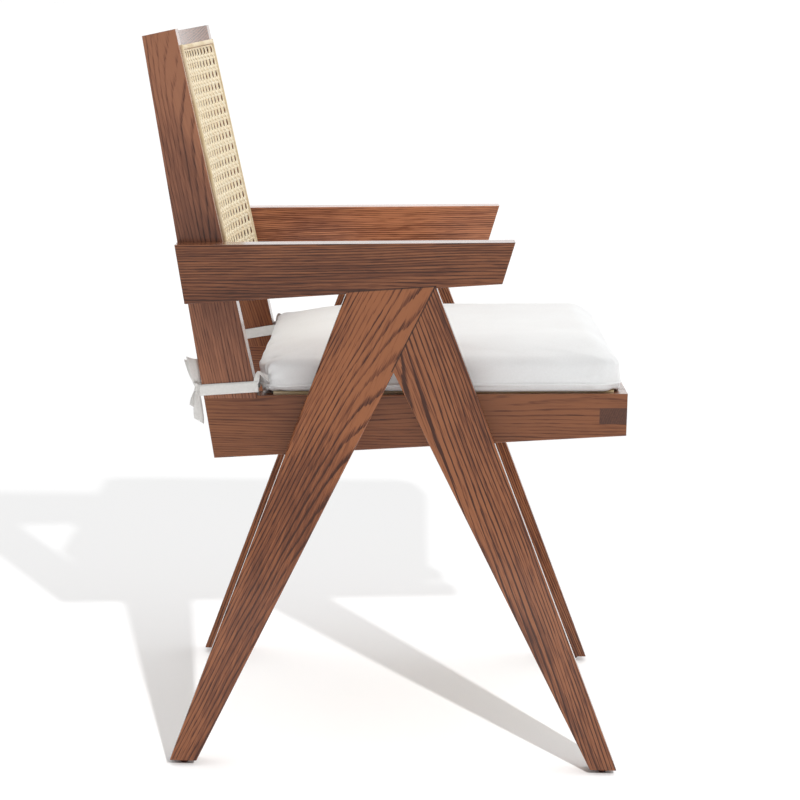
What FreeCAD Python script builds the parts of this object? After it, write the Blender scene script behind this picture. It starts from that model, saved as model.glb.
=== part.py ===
# Armchair with V-shaped legs, a curved cane back, a cane seat and a tied-on seat cushion.
# The chair faces -Y, +Z is up, and the origin is on the floor at the middle of the chair's box.
# The sitter's left side is at +X. Lengths are in millimetres and angles in degrees.
import FreeCAD, Part
import os
import re
import Sketcher

doc = FreeCAD.newDocument("cane_armchair")

# Driving dimensions. Forward places are measured from the top back corners of the back posts.
SIZES = {
    # Whole chair
    "overall_width": 527.0,
    "overall_depth": 530.0,
    "board_thickness": 35.0,
    "frame_thickness": 35.0,
    "edge_round": 1.5,
    "housing_depth": 3.0,
    "fit_gap": 0.1,
    "cut_overrun": 5.0,
    # V-shaped legs
    "foot_setback": 40.5,
    "foot_width": 29.0,
    "leg_apex": 317.0,
    "leg_shoulder": 221.5,
    "crotch_rise": 34.5,
    # Arms, boards on edge
    "arm_rise": 165.0,
    "arm_back_width": 62.5,
    "arm_top_slope": 1.8,
    "arm_bottom_slope": 5.0,
    "arm_reach": 399.0,
    "arm_nose_rake": 12.5,
    # Back posts
    "post_top_width": 35.0,
    "post_back_lean": 10.35,
    "post_front_lean": 13.4,
    # Seat frame
    "seat_back_height": 402.0,
    "back_rise": 390.0,
    "seat_slope": 1.63,
    "rail_back_width": 68.0,
    "rail_front_width": 46.0,
    "front_rail_depth": 29.5,
    "front_rail_width": 42.0,
    "front_tenon_drop": 15.5,
    "front_tenon_width": 17.5,
    "rear_rail_gap": 4.0,
    "rear_rail_depth": 34.0,
    "rear_rail_width": 52.0,
    "tenon_length": 20.0,
    "tenon_thickness": 10.0,
    "tenon_shoulder": 8.0,
    "post_tenon_length": 50.0,
    "post_tenon_width": 30.0,
    # Curved back panel
    "back_curve_depth": 22.0,
    "back_rail_thickness": 18.0,
    "back_rail_width": 42.0,
    "back_panel_lift": 85.0,
    # Cane and the reed splines that hold it
    "cane_thickness": 1.5,
    "spline_width": 6.0,
    "groove_depth": 7.0,
    "back_spline_stand": 3.0,
    "seat_spline_stand": 2.5,
    "back_end_margin": 17.5,
    "back_side_margin": 18.0,
    "seat_side_margin": 12.0,
    "seat_front_margin": 14.0,
    "seat_rear_margin": 13.0,
    # Seat cushion
    "cushion_thickness": 42.0,
    "cushion_crown": 10.0,
    "cushion_side_swell": 4.0,
    "cushion_draw_in": 4.0,
    "cushion_side_gap": 1.0,
    "cushion_back_gap": 4.0,
    "cushion_front_inset": 8.0,
    "cushion_lift": 0.3,
    # Ribbon ties
    "ribbon_width": 12.0,
    "ribbon_thickness": 1.5,
    "ribbon_gap": 0.3,
    "knot_depth": 9.0,
    "knot_width": 16.0,
    "loop_length": 30.0,
    "loop_width": 7.0,
    "tail_length": 32.0,
    "short_tail_length": 20.0,
    # Feet and fastenings
    "glide_height": 6.0,
    "glide_diameter": 13.0,
    "glide_flat": 8.0,
    "glide_rim": 3.0,
    "nail_diameter": 2.5,
    "nail_length": 18.0,
    "dowel_diameter": 8.0,
    "dowel_length": 44.0,
    "screw_diameter": 5.0,
    "screw_length": 55.0,
    "screw_head_diameter": 10.0,
    "screw_head_height": 4.0,
    "screw_spread": 26.0,
}

# Places of dowels, as shares of the joint or board that they sit in.
LEG_DOWEL_SHARES = (0.12, 0.42)
ARM_DOWEL_SHARES = (0.2, 0.5)
POST_DOWEL_SHARES = (0.28, 0.72)
# Rise of a bow loop's rounded top, as a share of half the loop's width.
LOOP_RISE_SHARE = 0.8
# Openings in the back's cane: how many across and up, and their sides as a share of their spacing.
CANE_OPENINGS_ACROSS = 12
CANE_OPENINGS_UP = 8
CANE_OPENING_SHARE = 0.5
# Cushion sections from back to front: place along the depth, draw-in, height and crown, as shares.
CUSHION_SECTION_SHARES = (
    (0.0, 0.9, 0.72, 0.5),
    (0.04, 0.3, 0.92, 0.65),
    (0.16, 0.45, 0.98, 0.85),
    (0.5, 1.0, 1.0, 1.0),
    (0.84, 0.45, 0.98, 0.85),
    (0.96, 0.3, 0.92, 0.65),
    (1.0, 0.9, 0.72, 0.5),
)


# Lines of the chair seen from the side, as formulas
def seat_line(forward):
    return f"(seat_back_height + (({forward}) - post_base_back) * tan(seat_slope))"


def post_back_line(height):
    return f"((post_back_height - ({height})) * tan(post_back_lean))"


def post_front_line(height):
    return f"(post_top_width + (overall_height - ({height})) * tan(post_front_lean))"


def arm_top_line(forward):
    return f"(arm_back_height + (({forward}) - arm_back) * tan(arm_top_slope))"


def arm_bottom_line(forward):
    return f"(arm_heel_height + (({forward}) - arm_heel) * tan(arm_bottom_slope))"


def rail_crossing_height(foot_middle, lean):
    return (f"(rail_middle_height + rail_middle_slope * ({foot_middle} - {lean} * glide_height - rail_middle))"
            f" / (1 - rail_middle_slope * {lean})")


def along(start, end, share):
    return f"({start} + ({end} - {start}) * {share})"


# Places worked out from the sizes, each after the ones that it needs.
PLACES = {
    # The back posts rise from the back of the seat
    "overall_height": "seat_back_height + back_rise",
    # Faces across the chair: inside of the legs, and inside of the side rails
    "half_inner": "overall_width / 2 - board_thickness",
    "half_bay": "half_inner - frame_thickness",
    # The curved top rail may stand behind the posts
    "rail_bulge": "max(0; (back_curve_depth + back_rail_thickness) * cos(post_front_lean) - post_top_width)",
    "back_reach": "overall_depth / 2 - rail_bulge",
    "front_end": "overall_depth - rail_bulge",
    # Back posts
    "post_back_height": "overall_height - post_top_width * tan(post_front_lean)",
    "post_base_back": post_back_line("seat_back_height"),
    "post_base_front": "(post_top_width + (overall_height - seat_back_height + post_base_back * tan(seat_slope))"
                       " * tan(post_front_lean)) / (1 + tan(seat_slope) * tan(post_front_lean))",
    "post_run": "(post_base_front - post_base_back) / cos(seat_slope)",
    "post_foot_height": "seat_back_height - housing_depth",
    "post_middle": "half_bay + frame_thickness / 2",
    # Seat frame
    "rail_back_height": "seat_back_height - rail_back_width",
    "rail_back": post_back_line("rail_back_height"),
    "seat_front_height": seat_line("front_end"),
    "front_rail_back": "front_end - front_rail_depth",
    "rear_rail_back": "post_base_front + rear_rail_gap",
    "rear_rail_front": "rear_rail_back + rear_rail_depth",
    "rear_tenon_back": "rear_rail_back + (rear_rail_depth - tenon_thickness) / 2",
    "rear_tenon_drop": "groove_depth + tenon_shoulder",
    "rear_tenon_foot": "rear_rail_width - tenon_shoulder",
    "rail_middle": "(post_base_back + rail_back) / 2",
    "rail_middle_height": "seat_back_height - rail_back_width / 2",
    "rail_middle_slope": "(seat_front_height - rail_front_width / 2 - rail_middle_height) / (front_end - rail_middle)",
    "post_tenon_middle": "post_run / 2 - post_tenon_length / 4 * tan(post_front_lean)",
    # Arms, a set rise above the seat
    "arm_back_height": "seat_back_height + arm_rise",
    "arm_back": post_back_line("arm_back_height"),
    "arm_heel_height": "arm_back_height - arm_back_width",
    "arm_heel": post_back_line("arm_heel_height"),
    "arm_toe": "arm_reach - arm_nose_rake",
    # Legs, which part a little above the seat
    "crotch_height": "seat_back_height + crotch_rise",
    "rear_foot_front": "foot_setback + foot_width",
    "front_foot_back": "front_end - foot_width",
    "rear_foot_middle": "foot_setback + foot_width / 2",
    "front_foot_middle": "front_end - foot_width / 2",
    "leg_middle": "half_inner + board_thickness / 2",
    "shoulder_height": arm_bottom_line("leg_shoulder"),
    "apex_height": arm_bottom_line("leg_apex"),
    "leg_joint_lean": "atan((leg_apex - rear_foot_front) / (apex_height - glide_height)) / 1 deg",
    "crotch": "rear_foot_front + (crotch_height - glide_height) * tan(leg_joint_lean)",
    # The front leg is let into the rear leg, and both are let into the arm, by the housing depth
    "housed_crotch": "crotch - housing_depth * cos(leg_joint_lean)",
    "housed_crotch_height": "crotch_height + housing_depth * sin(leg_joint_lean)",
    "housed_top_height": "(arm_heel_height + housing_depth + tan(arm_bottom_slope) * (housed_crotch - arm_heel"
                         " - housed_crotch_height * tan(leg_joint_lean)))"
                         " / (1 - tan(arm_bottom_slope) * tan(leg_joint_lean))",
    "housed_top": "housed_crotch + (housed_top_height - housed_crotch_height) * tan(leg_joint_lean)",
    # Middle lines of the legs, and where they cross the middle of the side rail
    "rear_leg_lean": "((leg_shoulder + leg_apex) / 2 - rear_foot_middle)"
                     " / ((shoulder_height + apex_height) / 2 - glide_height)",
    "front_leg_lean": "((crotch + front_end - (crotch_height - glide_height) * (front_end - leg_apex)"
                      " / (apex_height - glide_height)) / 2 - front_foot_middle) / (crotch_height - glide_height)",
    "rear_crossing_height": rail_crossing_height("rear_foot_middle", "rear_leg_lean"),
    "front_crossing_height": rail_crossing_height("front_foot_middle", "front_leg_lean"),
    # Curved back, in the leaning frame of the posts' front faces
    "back_panel_length": "(overall_height - " + seat_line("post_base_front") + ") / cos(post_front_lean) - back_panel_lift",
    "curve_radius": "(half_bay ^ 2 + back_curve_depth ^ 2) / (2 * back_curve_depth)",
    "back_spline_edge": "half_inner - back_side_margin",
    "back_cane_edge": "back_spline_edge - spline_width",
    "back_spline_foot": "back_panel_length - back_end_margin",
    "back_cane_top": "back_end_margin + spline_width",
    "back_cane_foot": "back_spline_foot - spline_width",
    "cane_opening_spacing": f"2 * back_cane_edge / {CANE_OPENINGS_ACROSS}",
    "cane_opening_rise": f"(back_cane_foot - back_cane_top) / {CANE_OPENINGS_UP}",
    "bottom_rail_top": "back_panel_length - back_rail_width",
    "back_tenon_inset": "(groove_depth + back_rail_thickness - tenon_thickness) / 2",
    # Cane seat, measured along the seat's slope from the post's back corner
    "seat_run": "(front_end - post_base_back) / cos(seat_slope)",
    "seat_spline_edge": "half_inner - seat_side_margin",
    "seat_cane_edge": "seat_spline_edge - spline_width",
    "seat_spline_back": "post_run + rear_rail_gap + seat_rear_margin",
    "seat_spline_front": "seat_run - seat_front_margin",
    "seat_cane_back": "seat_spline_back + spline_width",
    "seat_cane_front": "seat_spline_front - spline_width",
    # Cushion
    "cushion_half_width": "half_inner - cushion_side_gap - cushion_side_swell",
    "cushion_floor": "seat_spline_stand + cushion_lift",
    "cushion_back": "post_run + cushion_back_gap",
    "cushion_depth": "seat_run - cushion_front_inset - cushion_back",
    # Ties: the band round a post's foot, and the bow behind it
    "band_wall": "ribbon_gap + ribbon_thickness",
    "bow_front": "ribbon_gap * 2 + ribbon_thickness",
    "loop_half_width": "loop_width / 2",
    "loop_offset": "loop_half_width + ribbon_gap",
}

# Leaning frames: a forward place, a height, and the lean of the frame's upright.
BACK_FACE = ("post_top_width", "overall_height", "post_front_lean")
SEAT_TOP = ("post_base_back", "seat_back_height", "seat_slope")
POST_REAR = ("post_base_back", "seat_back_height", "post_back_lean")


# Sheets
def bind(formula, places="Places."):
    """Write a formula with the sheet of each size and place in front of its name."""
    def with_sheet(match):
        word = match.group(0)
        if word in SIZES:
            return "Sizes." + word
        if word in PLACES:
            return places + word
        return word
    return re.sub(r"[a-z_]+", with_sheet, formula)


def fill_sheet(name, cells):
    sheet = doc.addObject("Spreadsheet::Sheet", name)
    for row, (alias, text) in enumerate(cells.items(), 1):
        sheet.set(f"A{row}", alias)
        sheet.set(f"B{row}", text)
        sheet.setAlias(f"B{row}", alias)
    return sheet


sizes = fill_sheet("Sizes", {alias: str(value) for alias, value in SIZES.items()})
places = fill_sheet("Places", {alias: "=" + bind(formula, "") for alias, formula in PLACES.items()})
doc.recompute()


def value_of(formula):
    return float(sizes.evalExpression(bind(formula)))


# Pieces in the document
nodes = {}


def keep(piece, label):
    """Name a finished piece. Its name is also its file's name."""
    piece.Label = label
    nodes[label] = piece
    return piece


def turn(piece, axis, angle):
    piece.Placement = FreeCAD.Placement(piece.Placement.Base, FreeCAD.Rotation(axis, 1))
    piece.setExpression("Placement.Rotation.Angle", bind(angle))


def place(piece, across="0", forward="back_reach", height="0", lean=None):
    """Put a piece at a place in the chair. A lean tips its upright backwards."""
    piece.setExpression("Placement.Base.x", bind(across))
    piece.setExpression("Placement.Base.y", bind(f"back_reach - ({forward})"))
    piece.setExpression("Placement.Base.z", bind(height))
    if lean is not None:
        turn(piece, FreeCAD.Vector(-1, 0, 0), lean)
    return piece


def add_sketch(body, plane, offset="0"):
    sketch = body.newObject("Sketcher::SketchObject", body.Name + "_outline")
    support = next(feature for feature in body.Origin.OriginFeatures if feature.Role == plane)
    sketch.AttachmentSupport = (support, "")
    sketch.MapMode = "FlatFace"
    sketch.setExpression("AttachmentOffset.Base.z", bind(offset))
    return sketch


def hold(sketch, kind, *target, formula):
    """Add a constraint whose value is a formula."""
    index = sketch.addConstraint(Sketcher.Constraint(kind, *target, value_of(formula)))
    sketch.setExpression(f"Constraints[{index}]", bind(formula))


def draw_outline(sketch, points, arcs=None):
    """Draw a closed outline. An arc is given by its segment: its radius and a point on its way."""
    arcs = arcs or {}
    first = sketch.GeometryCount
    spots = [FreeCAD.Vector(value_of(x), value_of(y), 0) for x, y in points]
    ends = []
    for index, start in enumerate(spots):
        end = spots[(index + 1) % len(spots)]
        if index in arcs:
            _, way_x, way_y = arcs[index]
            curve = Part.Arc(start, FreeCAD.Vector(value_of(way_x), value_of(way_y), 0), end)
        else:
            curve = Part.LineSegment(start, end)
        number = sketch.addGeometry(curve)
        first_end, second_end = sketch.getPoint(number, 1), sketch.getPoint(number, 2)
        drawn_forwards = first_end.distanceToPoint(start) < second_end.distanceToPoint(start)
        ends.append((1, 2) if drawn_forwards else (2, 1))
    for index, (x, y) in enumerate(points):
        following = (index + 1) % len(points)
        sketch.addConstraint(Sketcher.Constraint("Coincident", first + index, ends[index][1],
                                                 first + following, ends[following][0]))
        hold(sketch, "DistanceX", -1, 1, first + index, ends[index][0], formula=x)
        hold(sketch, "DistanceY", -1, 1, first + index, ends[index][0], formula=y)
    for index, (radius, _, _) in arcs.items():
        hold(sketch, "Radius", first + index, formula=radius)


def side_points(points):
    """Turn forward places and heights into the sketch's own directions."""
    return [(f"back_reach - ({forward})", height) for forward, height in points]


def rectangle(low_x, low_y, high_x, high_y):
    return [(low_x, low_y), (high_x, low_y), (high_x, high_y), (low_x, high_y)]


def pad(body, sketch, length, symmetric=False):
    feature = body.newObject("PartDesign::Pad", body.Name + "_pad")
    feature.Profile = sketch
    feature.Refine = False
    if symmetric:
        feature.SideType = "Symmetric"
    feature.setExpression("Length", bind(length))
    return feature


def prism(label, points, across, width):
    """A piece with a side outline, of one width, from a place across the chair."""
    body = place(doc.addObject("PartDesign::Body", label), across)
    sketch = add_sketch(body, "YZ_Plane")
    draw_outline(sketch, side_points(points))
    pad(body, sketch, width)
    return body


def bar(label, *outlines_and_widths):
    """A piece that lies across the middle of the chair, with a side outline for each width."""
    body = place(doc.addObject("PartDesign::Body", label))
    for points, width in outlines_and_widths:
        sketch = add_sketch(body, "YZ_Plane")
        draw_outline(sketch, side_points(points))
        pad(body, sketch, width, symmetric=True)
    return body


def board(label, points, across, width, rounded):
    """A board whose listed outline segments have rounded edges on both faces."""
    body = prism(label + "_board", points, across, width)
    doc.recompute()
    solid = body.Tip
    spots = [(value_of(f"back_reach - ({forward})"), value_of(height)) for forward, height in points]
    names = []
    for number, edge in enumerate(solid.Shape.Edges, 1):
        start, end = [(vertex.Y, vertex.Z) for vertex in edge.Vertexes]
        for index in rounded:
            wanted = spots[index], spots[(index + 1) % len(spots)]
            if same_spots((start, end), wanted) or same_spots((end, start), wanted):
                names.append(f"Edge{number}")
    fillet = body.newObject("PartDesign::Fillet", label + "_round")
    fillet.Base = (solid, names)
    fillet.Refine = False
    fillet.setExpression("Radius", bind("edge_round"))
    return body


def same_spots(spots, wanted):
    """Whether two pairs of places agree, to a small part of the edges' rounding."""
    nearness = value_of("fit_gap")
    return all(abs(a - b) < nearness for spot, want in zip(spots, wanted) for a, b in zip(spot, want))


def leaning_box(label, frame, low, size):
    """A box in a leaning frame: across, backward and upward, from its low corner."""
    forward, height, lean = frame
    box = doc.addObject("Part::Box", label)
    for side, length in zip(("Length", "Width", "Height"), size):
        box.setExpression(side, bind(length))
    across, back, up = low
    shift = f"({back}) * cos({lean}) + ({up}) * sin({lean})"
    rise = f"({height}) - ({back}) * sin({lean}) + ({up}) * cos({lean})"
    return place(box, across, f"({forward}) - ({shift})", rise, lean)


def rod(label, diameter, length, spot, axis, angle):
    """A round rod from a spot (across, forward, height), turned from upright about an axis."""
    cylinder = doc.addObject("Part::Cylinder", label)
    cylinder.setExpression("Radius", bind(f"({diameter}) / 2"))
    cylinder.setExpression("Height", bind(length))
    place(cylinder, *spot)
    turn(cylinder, axis, angle)
    return cylinder


def group(label, pieces):
    compound = doc.addObject("Part::Compound", label)
    compound.Links = pieces
    return compound


def cut(label, base, tools):
    result = doc.addObject("Part::Cut", label)
    result.Base = base
    result.Tool = group(label + "_cuts", tools)
    return result


def mirrored(source, label):
    copy = doc.addObject("Part::Mirroring", label)
    copy.Source = source
    copy.Normal = FreeCAD.Vector(1, 0, 0)
    return copy


def keep_pair(piece, name):
    """Keep a left piece and its mirror image."""
    keep(piece, "left_" + name)
    keep(mirrored(piece, "right_" + name), "right_" + name)


def keep_group(label, left_pieces):
    """Keep like pieces of both sides as one group of separate solids."""
    right_pieces = [mirrored(piece, piece.Name + "_right") for piece in left_pieces]
    keep(group(label, left_pieces + right_pieces), label)


# Fastenings of the left side. A gap round a fastening gives the hole for it.
LEANING_FORWARD = FreeCAD.Vector(1, 0, 0)
LEANING_BACK = FreeCAD.Vector(-1, 0, 0)
TOWARDS_LEFT = FreeCAD.Vector(0, 1, 0)


def leg_dowels(gap="0"):
    """Dowels across the joint between the two legs, square to it."""
    dowels = []
    for share in LEG_DOWEL_SHARES:
        forward = along("crotch", "leg_apex", share) + " - dowel_length / 2 * cos(leg_joint_lean)"
        height = along("crotch_height", "apex_height", share) + " + dowel_length / 2 * sin(leg_joint_lean)"
        dowels.append(rod("leg_dowel", f"dowel_diameter + 2 * {gap}", "dowel_length",
                          ("leg_middle", forward, height), LEANING_FORWARD, "90 + leg_joint_lean"))
    return dowels


def arm_dowels(gap="0"):
    """Dowels from the rear leg's top into the arm, square to the arm's lower edge."""
    dowels = []
    for share in ARM_DOWEL_SHARES:
        forward = along("leg_shoulder", "leg_apex", share) + " + dowel_length / 2 * sin(arm_bottom_slope)"
        height = along("shoulder_height", "apex_height", share) + " - dowel_length / 2 * cos(arm_bottom_slope)"
        dowels.append(rod("arm_dowel", f"dowel_diameter + 2 * {gap}", "dowel_length",
                          ("leg_middle", forward, height), LEANING_BACK, "arm_bottom_slope"))
    return dowels


def post_dowels(gap="0"):
    """Dowels from the back post into the arm, across the chair."""
    dowels = []
    for share in POST_DOWEL_SHARES:
        height = f"(arm_back_height - arm_back_width * {share})"
        forward = f"({post_back_line(height)} + {post_front_line(height)}) / 2"
        dowels.append(rod("post_dowel", f"dowel_diameter + 2 * {gap}", "dowel_length",
                          ("half_inner - dowel_length / 2", forward, height), TOWARDS_LEFT, "90"))
    return dowels


def leg_screws(foot_middle, lean, crossing_height, gap="0"):
    """Countersunk screws from the side rail's inner face into one leg, where they cross."""
    screws = []
    for side in ("- ", "+ "):
        height = f"({crossing_height} {side} screw_spread / 2)"
        spot = ("half_bay", f"{foot_middle} + {lean} * ({height} - glide_height)", height)
        shank = rod("screw_shank", f"screw_diameter + 2 * {gap}", "screw_length", spot, TOWARDS_LEFT, "90")
        head = doc.addObject("Part::Cone", "screw_head")
        head.setExpression("Radius1", bind(f"screw_head_diameter / 2 + {gap}"))
        head.setExpression("Radius2", bind(f"screw_diameter / 2 + {gap}"))
        head.setExpression("Height", bind("screw_head_height"))
        place(head, *spot)
        turn(head, TOWARDS_LEFT, "90")
        screw = doc.addObject("Part::Fuse", "leg_screw")
        screw.Base = shank
        screw.Tool = head
        screws.append(screw)
    return screws


def rear_leg_screws(gap="0"):
    return leg_screws("rear_foot_middle", "rear_leg_lean", "rear_crossing_height", gap)


def front_leg_screws(gap="0"):
    return leg_screws("front_foot_middle", "front_leg_lean", "front_crossing_height", gap)


def glide_nail(foot_middle, gap="0"):
    return rod("glide_nail", f"nail_diameter + 2 * {gap}", "nail_length",
               ("leg_middle", foot_middle, "glide_height"), LEANING_FORWARD, "0")


def foot_glide(foot_middle):
    """A round glide with a flat underside and a domed rim."""
    body = place(doc.addObject("PartDesign::Body", "foot_glide"), "leg_middle", foot_middle)
    sketch = add_sketch(body, "XZ_Plane")
    draw_outline(sketch, [
        ("0", "0"),
        ("glide_flat / 2", "0"),
        ("glide_diameter / 2", "glide_rim"),
        ("glide_diameter / 2", "glide_height"),
        ("0", "glide_height"),
    ])
    turned = body.newObject("PartDesign::Revolution", "glide_turned")
    turned.Profile = sketch
    turned.ReferenceAxis = (sketch, ["V_Axis"])
    return body


def post_tenon(gap="0"):
    """A loose tenon between the side rail and the foot of the back post."""
    return leaning_box("post_tenon", SEAT_TOP,
                       (f"post_middle - tenon_thickness / 2 - {gap}",
                        f"-(post_tenon_middle + post_tenon_width / 2 + {gap})",
                        f"-(post_tenon_length / 2 + {gap})"),
                       (f"tenon_thickness + 2 * {gap}", f"post_tenon_width + 2 * {gap}",
                        f"post_tenon_length + 2 * {gap}"))


# Legs and arms
def rear_leg():
    outline = [
        ("foot_setback", "glide_height"),
        ("rear_foot_front", "glide_height"),
        ("crotch", "crotch_height"),
        ("housed_crotch", "housed_crotch_height"),
        ("housed_top", "housed_top_height"),
        ("leg_shoulder", "shoulder_height + housing_depth"),
        ("leg_shoulder", "shoulder_height"),
    ]
    leg = board("left_rear_leg", outline, "half_inner", "board_thickness", rounded=(1, 6))
    holes = leg_dowels("fit_gap") + arm_dowels("fit_gap") + rear_leg_screws("fit_gap")
    return cut("left_rear_leg", leg, holes + [glide_nail("rear_foot_middle", "fit_gap")])


def front_leg():
    outline = [
        ("front_foot_back", "glide_height"),
        ("front_end", "glide_height"),
        ("leg_apex", "apex_height"),
        ("leg_apex", "apex_height + housing_depth"),
        ("housed_top", "housed_top_height"),
        ("housed_crotch", "housed_crotch_height"),
        ("crotch", "crotch_height"),
    ]
    leg = board("left_front_leg", outline, "half_inner", "board_thickness", rounded=(1, 6))
    holes = leg_dowels("fit_gap") + front_leg_screws("fit_gap")
    return cut("left_front_leg", leg, holes + [glide_nail("front_foot_middle", "fit_gap")])


def arm():
    outline = [
        ("arm_heel", "arm_heel_height"),
        ("leg_shoulder", "shoulder_height"),
        ("leg_shoulder", "shoulder_height + housing_depth"),
        ("leg_apex", "apex_height + housing_depth"),
        ("leg_apex", "apex_height"),
        ("arm_toe", arm_bottom_line("arm_toe")),
        ("arm_reach", arm_top_line("arm_reach")),
        ("arm_back", "arm_back_height"),
    ]
    arm_board = board("left_arm", outline, "half_inner", "board_thickness", rounded=(0, 4, 5, 6, 7))
    return cut("left_arm", arm_board, arm_dowels("fit_gap") + post_dowels("fit_gap"))


# Seat frame
def front_tenon_outline(front):
    return [
        ("front_rail_back", seat_line("front_rail_back") + " - front_tenon_drop - front_tenon_width"),
        (front, seat_line(front) + " - front_tenon_drop - front_tenon_width"),
        (front, seat_line(front) + " - front_tenon_drop"),
        ("front_rail_back", seat_line("front_rail_back") + " - front_tenon_drop"),
    ]


def rear_tenon_outline():
    front = "rear_tenon_back + tenon_thickness"
    return [
        ("rear_tenon_back", seat_line("rear_tenon_back") + " - rear_tenon_foot"),
        (front, seat_line(front) + " - rear_tenon_foot"),
        (front, seat_line(front) + " - rear_tenon_drop"),
        ("rear_tenon_back", seat_line("rear_tenon_back") + " - rear_tenon_drop"),
    ]


def rail_section(back, front, width):
    return [
        (back, seat_line(back) + f" - {width}"),
        (front, seat_line(front) + f" - {width}"),
        (front, seat_line(front)),
        (back, seat_line(back)),
    ]


def seat_groove(low_across, high_across, back, front):
    """A groove for a spline, cut down into the seat frame's top."""
    return leaning_box("seat_groove", SEAT_TOP, (low_across, f"-({front})", "-groove_depth"),
                       (f"({high_across}) - ({low_across})", f"({front}) - ({back})", "groove_depth + cut_overrun"))


def side_rail():
    outline = [
        ("rail_back", "rail_back_height"),
        ("front_end", "seat_front_height - rail_front_width"),
        ("front_end", "seat_front_height"),
        ("post_base_front", seat_line("post_base_front")),
        ("post_base_front", seat_line("post_base_front") + " - housing_depth"),
        (post_back_line("post_foot_height"), "post_foot_height"),
    ]
    rail = board("left_side_rail", outline, "half_bay", "frame_thickness", rounded=(0, 2, 5))
    front_slot = prism("front_slot", front_tenon_outline("front_end + cut_overrun"),
                       "half_bay - cut_overrun", "frame_thickness + 2 * cut_overrun")
    rear_mortise = prism("rear_mortise", rear_tenon_outline(), "half_bay - cut_overrun", "tenon_length + cut_overrun")
    grooves = [
        seat_groove("seat_cane_edge", "seat_spline_edge", "seat_spline_back", "seat_spline_front"),
        seat_groove("half_bay - cut_overrun", "seat_cane_edge", "seat_spline_back", "seat_cane_back"),
        seat_groove("half_bay - cut_overrun", "seat_cane_edge", "seat_cane_front", "seat_spline_front"),
    ]
    holes = rear_leg_screws("fit_gap") + front_leg_screws("fit_gap") + [post_tenon("fit_gap")]
    return cut("left_side_rail", rail, [front_slot, rear_mortise] + grooves + holes)


def front_seat_rail():
    rail = bar("front_seat_rail_bar",
               (rail_section("front_rail_back", "front_end", "front_rail_width"), "2 * half_bay"),
               (front_tenon_outline("front_end"), "2 * half_inner"))
    groove = seat_groove("-half_bay", "half_bay", "seat_cane_front", "seat_spline_front")
    return cut("front_seat_rail", rail, [groove])


def rear_seat_rail():
    rail = bar("rear_seat_rail_bar",
               (rail_section("rear_rail_back", "rear_rail_front", "rear_rail_width"), "2 * half_bay"),
               (rear_tenon_outline(), "2 * (half_bay + tenon_length)"))
    groove = seat_groove("-half_bay", "half_bay", "seat_spline_back", "seat_cane_back")
    return cut("rear_seat_rail", rail, [groove])


# Curved back. Its frame lies on the posts' front faces, with its top at the posts' tops.
def curved_strip(label, down, height, front, back, half_length="half_bay"):
    """A strip that follows the back's curve, and runs straight where it passes onto the posts."""
    body = place(doc.addObject("PartDesign::Body", label), "0", *BACK_FACE)
    sketch = add_sketch(body, "XY_Plane", f"-(({down}) + ({height}))")
    front_arc = ("curve_radius", "0", f"back_curve_depth + ({front})")
    back_arc = ("curve_radius", "0", f"back_curve_depth + ({back})")
    if half_length == "half_bay":
        points = rectangle("-half_bay", front, "half_bay", back)
        arcs = {0: front_arc, 2: back_arc}
    else:
        points = [
            (f"-({half_length})", front), ("-half_bay", front), ("half_bay", front), (half_length, front),
            (half_length, back), ("half_bay", back), ("-half_bay", back), (f"-({half_length})", back),
        ]
        arcs = {1: front_arc, 5: back_arc}
    draw_outline(sketch, points, arcs)
    pad(body, sketch, height)
    return body


def back_tenons(body, down):
    """Straight tenons at both ends of a curved rail."""
    sketch = add_sketch(body, "XY_Plane", f"-(({down}) + back_rail_width - tenon_shoulder)")
    near = "half_bay - tenon_thickness / 2"
    far = "half_bay + tenon_length"
    cheek = "back_tenon_inset + tenon_thickness"
    draw_outline(sketch, rectangle(near, "back_tenon_inset", far, cheek))
    draw_outline(sketch, rectangle(f"-({far})", "back_tenon_inset", f"-({near})", cheek))
    pad(body, sketch, "back_rail_width - 2 * tenon_shoulder")


def back_mortise(down):
    """The hole in a post for a curved rail's tenon."""
    return leaning_box("back_mortise", BACK_FACE,
                       ("half_bay - cut_overrun", "back_tenon_inset - fit_gap",
                        f"-(({down}) + back_rail_width - tenon_shoulder + fit_gap)"),
                       ("tenon_length + cut_overrun + fit_gap", "tenon_thickness + 2 * fit_gap",
                        "back_rail_width - 2 * tenon_shoulder + 2 * fit_gap"))


def curved_rail(label, down, spline_down):
    rail = curved_strip(label + "_bar", down, "back_rail_width", "0", "back_rail_thickness")
    back_tenons(rail, down)
    groove = curved_strip(label + "_groove", spline_down, "spline_width", "-cut_overrun", "groove_depth")
    return cut(label, rail, [groove])


def post_groove(low_across, high_across, top, foot):
    """A groove for a spline, cut back into a post's front face."""
    return leaning_box("post_groove", BACK_FACE, (low_across, "-cut_overrun", f"-({foot})"),
                       (f"({high_across}) - ({low_across})", "groove_depth + cut_overrun", f"({foot}) - ({top})"))


def back_post():
    outline = [
        ("0", "post_back_height"),
        (post_back_line("post_foot_height"), "post_foot_height"),
        ("post_base_front", seat_line("post_base_front") + " - housing_depth"),
        ("post_base_front", seat_line("post_base_front")),
        ("post_top_width", "overall_height"),
    ]
    post = board("left_back_post", outline, "half_bay", "frame_thickness", rounded=(0, 3, 4))
    grooves = [
        post_groove("back_cane_edge", "back_spline_edge", "back_end_margin", "back_spline_foot"),
        post_groove("half_bay - cut_overrun", "back_cane_edge", "back_end_margin", "back_cane_top"),
        post_groove("half_bay - cut_overrun", "back_cane_edge", "back_cane_foot", "back_spline_foot"),
    ]
    holes = [back_mortise("0"), back_mortise("bottom_rail_top"), post_tenon("fit_gap")]
    return cut("left_back_post", post, grooves + holes + post_dowels("fit_gap"))


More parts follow.
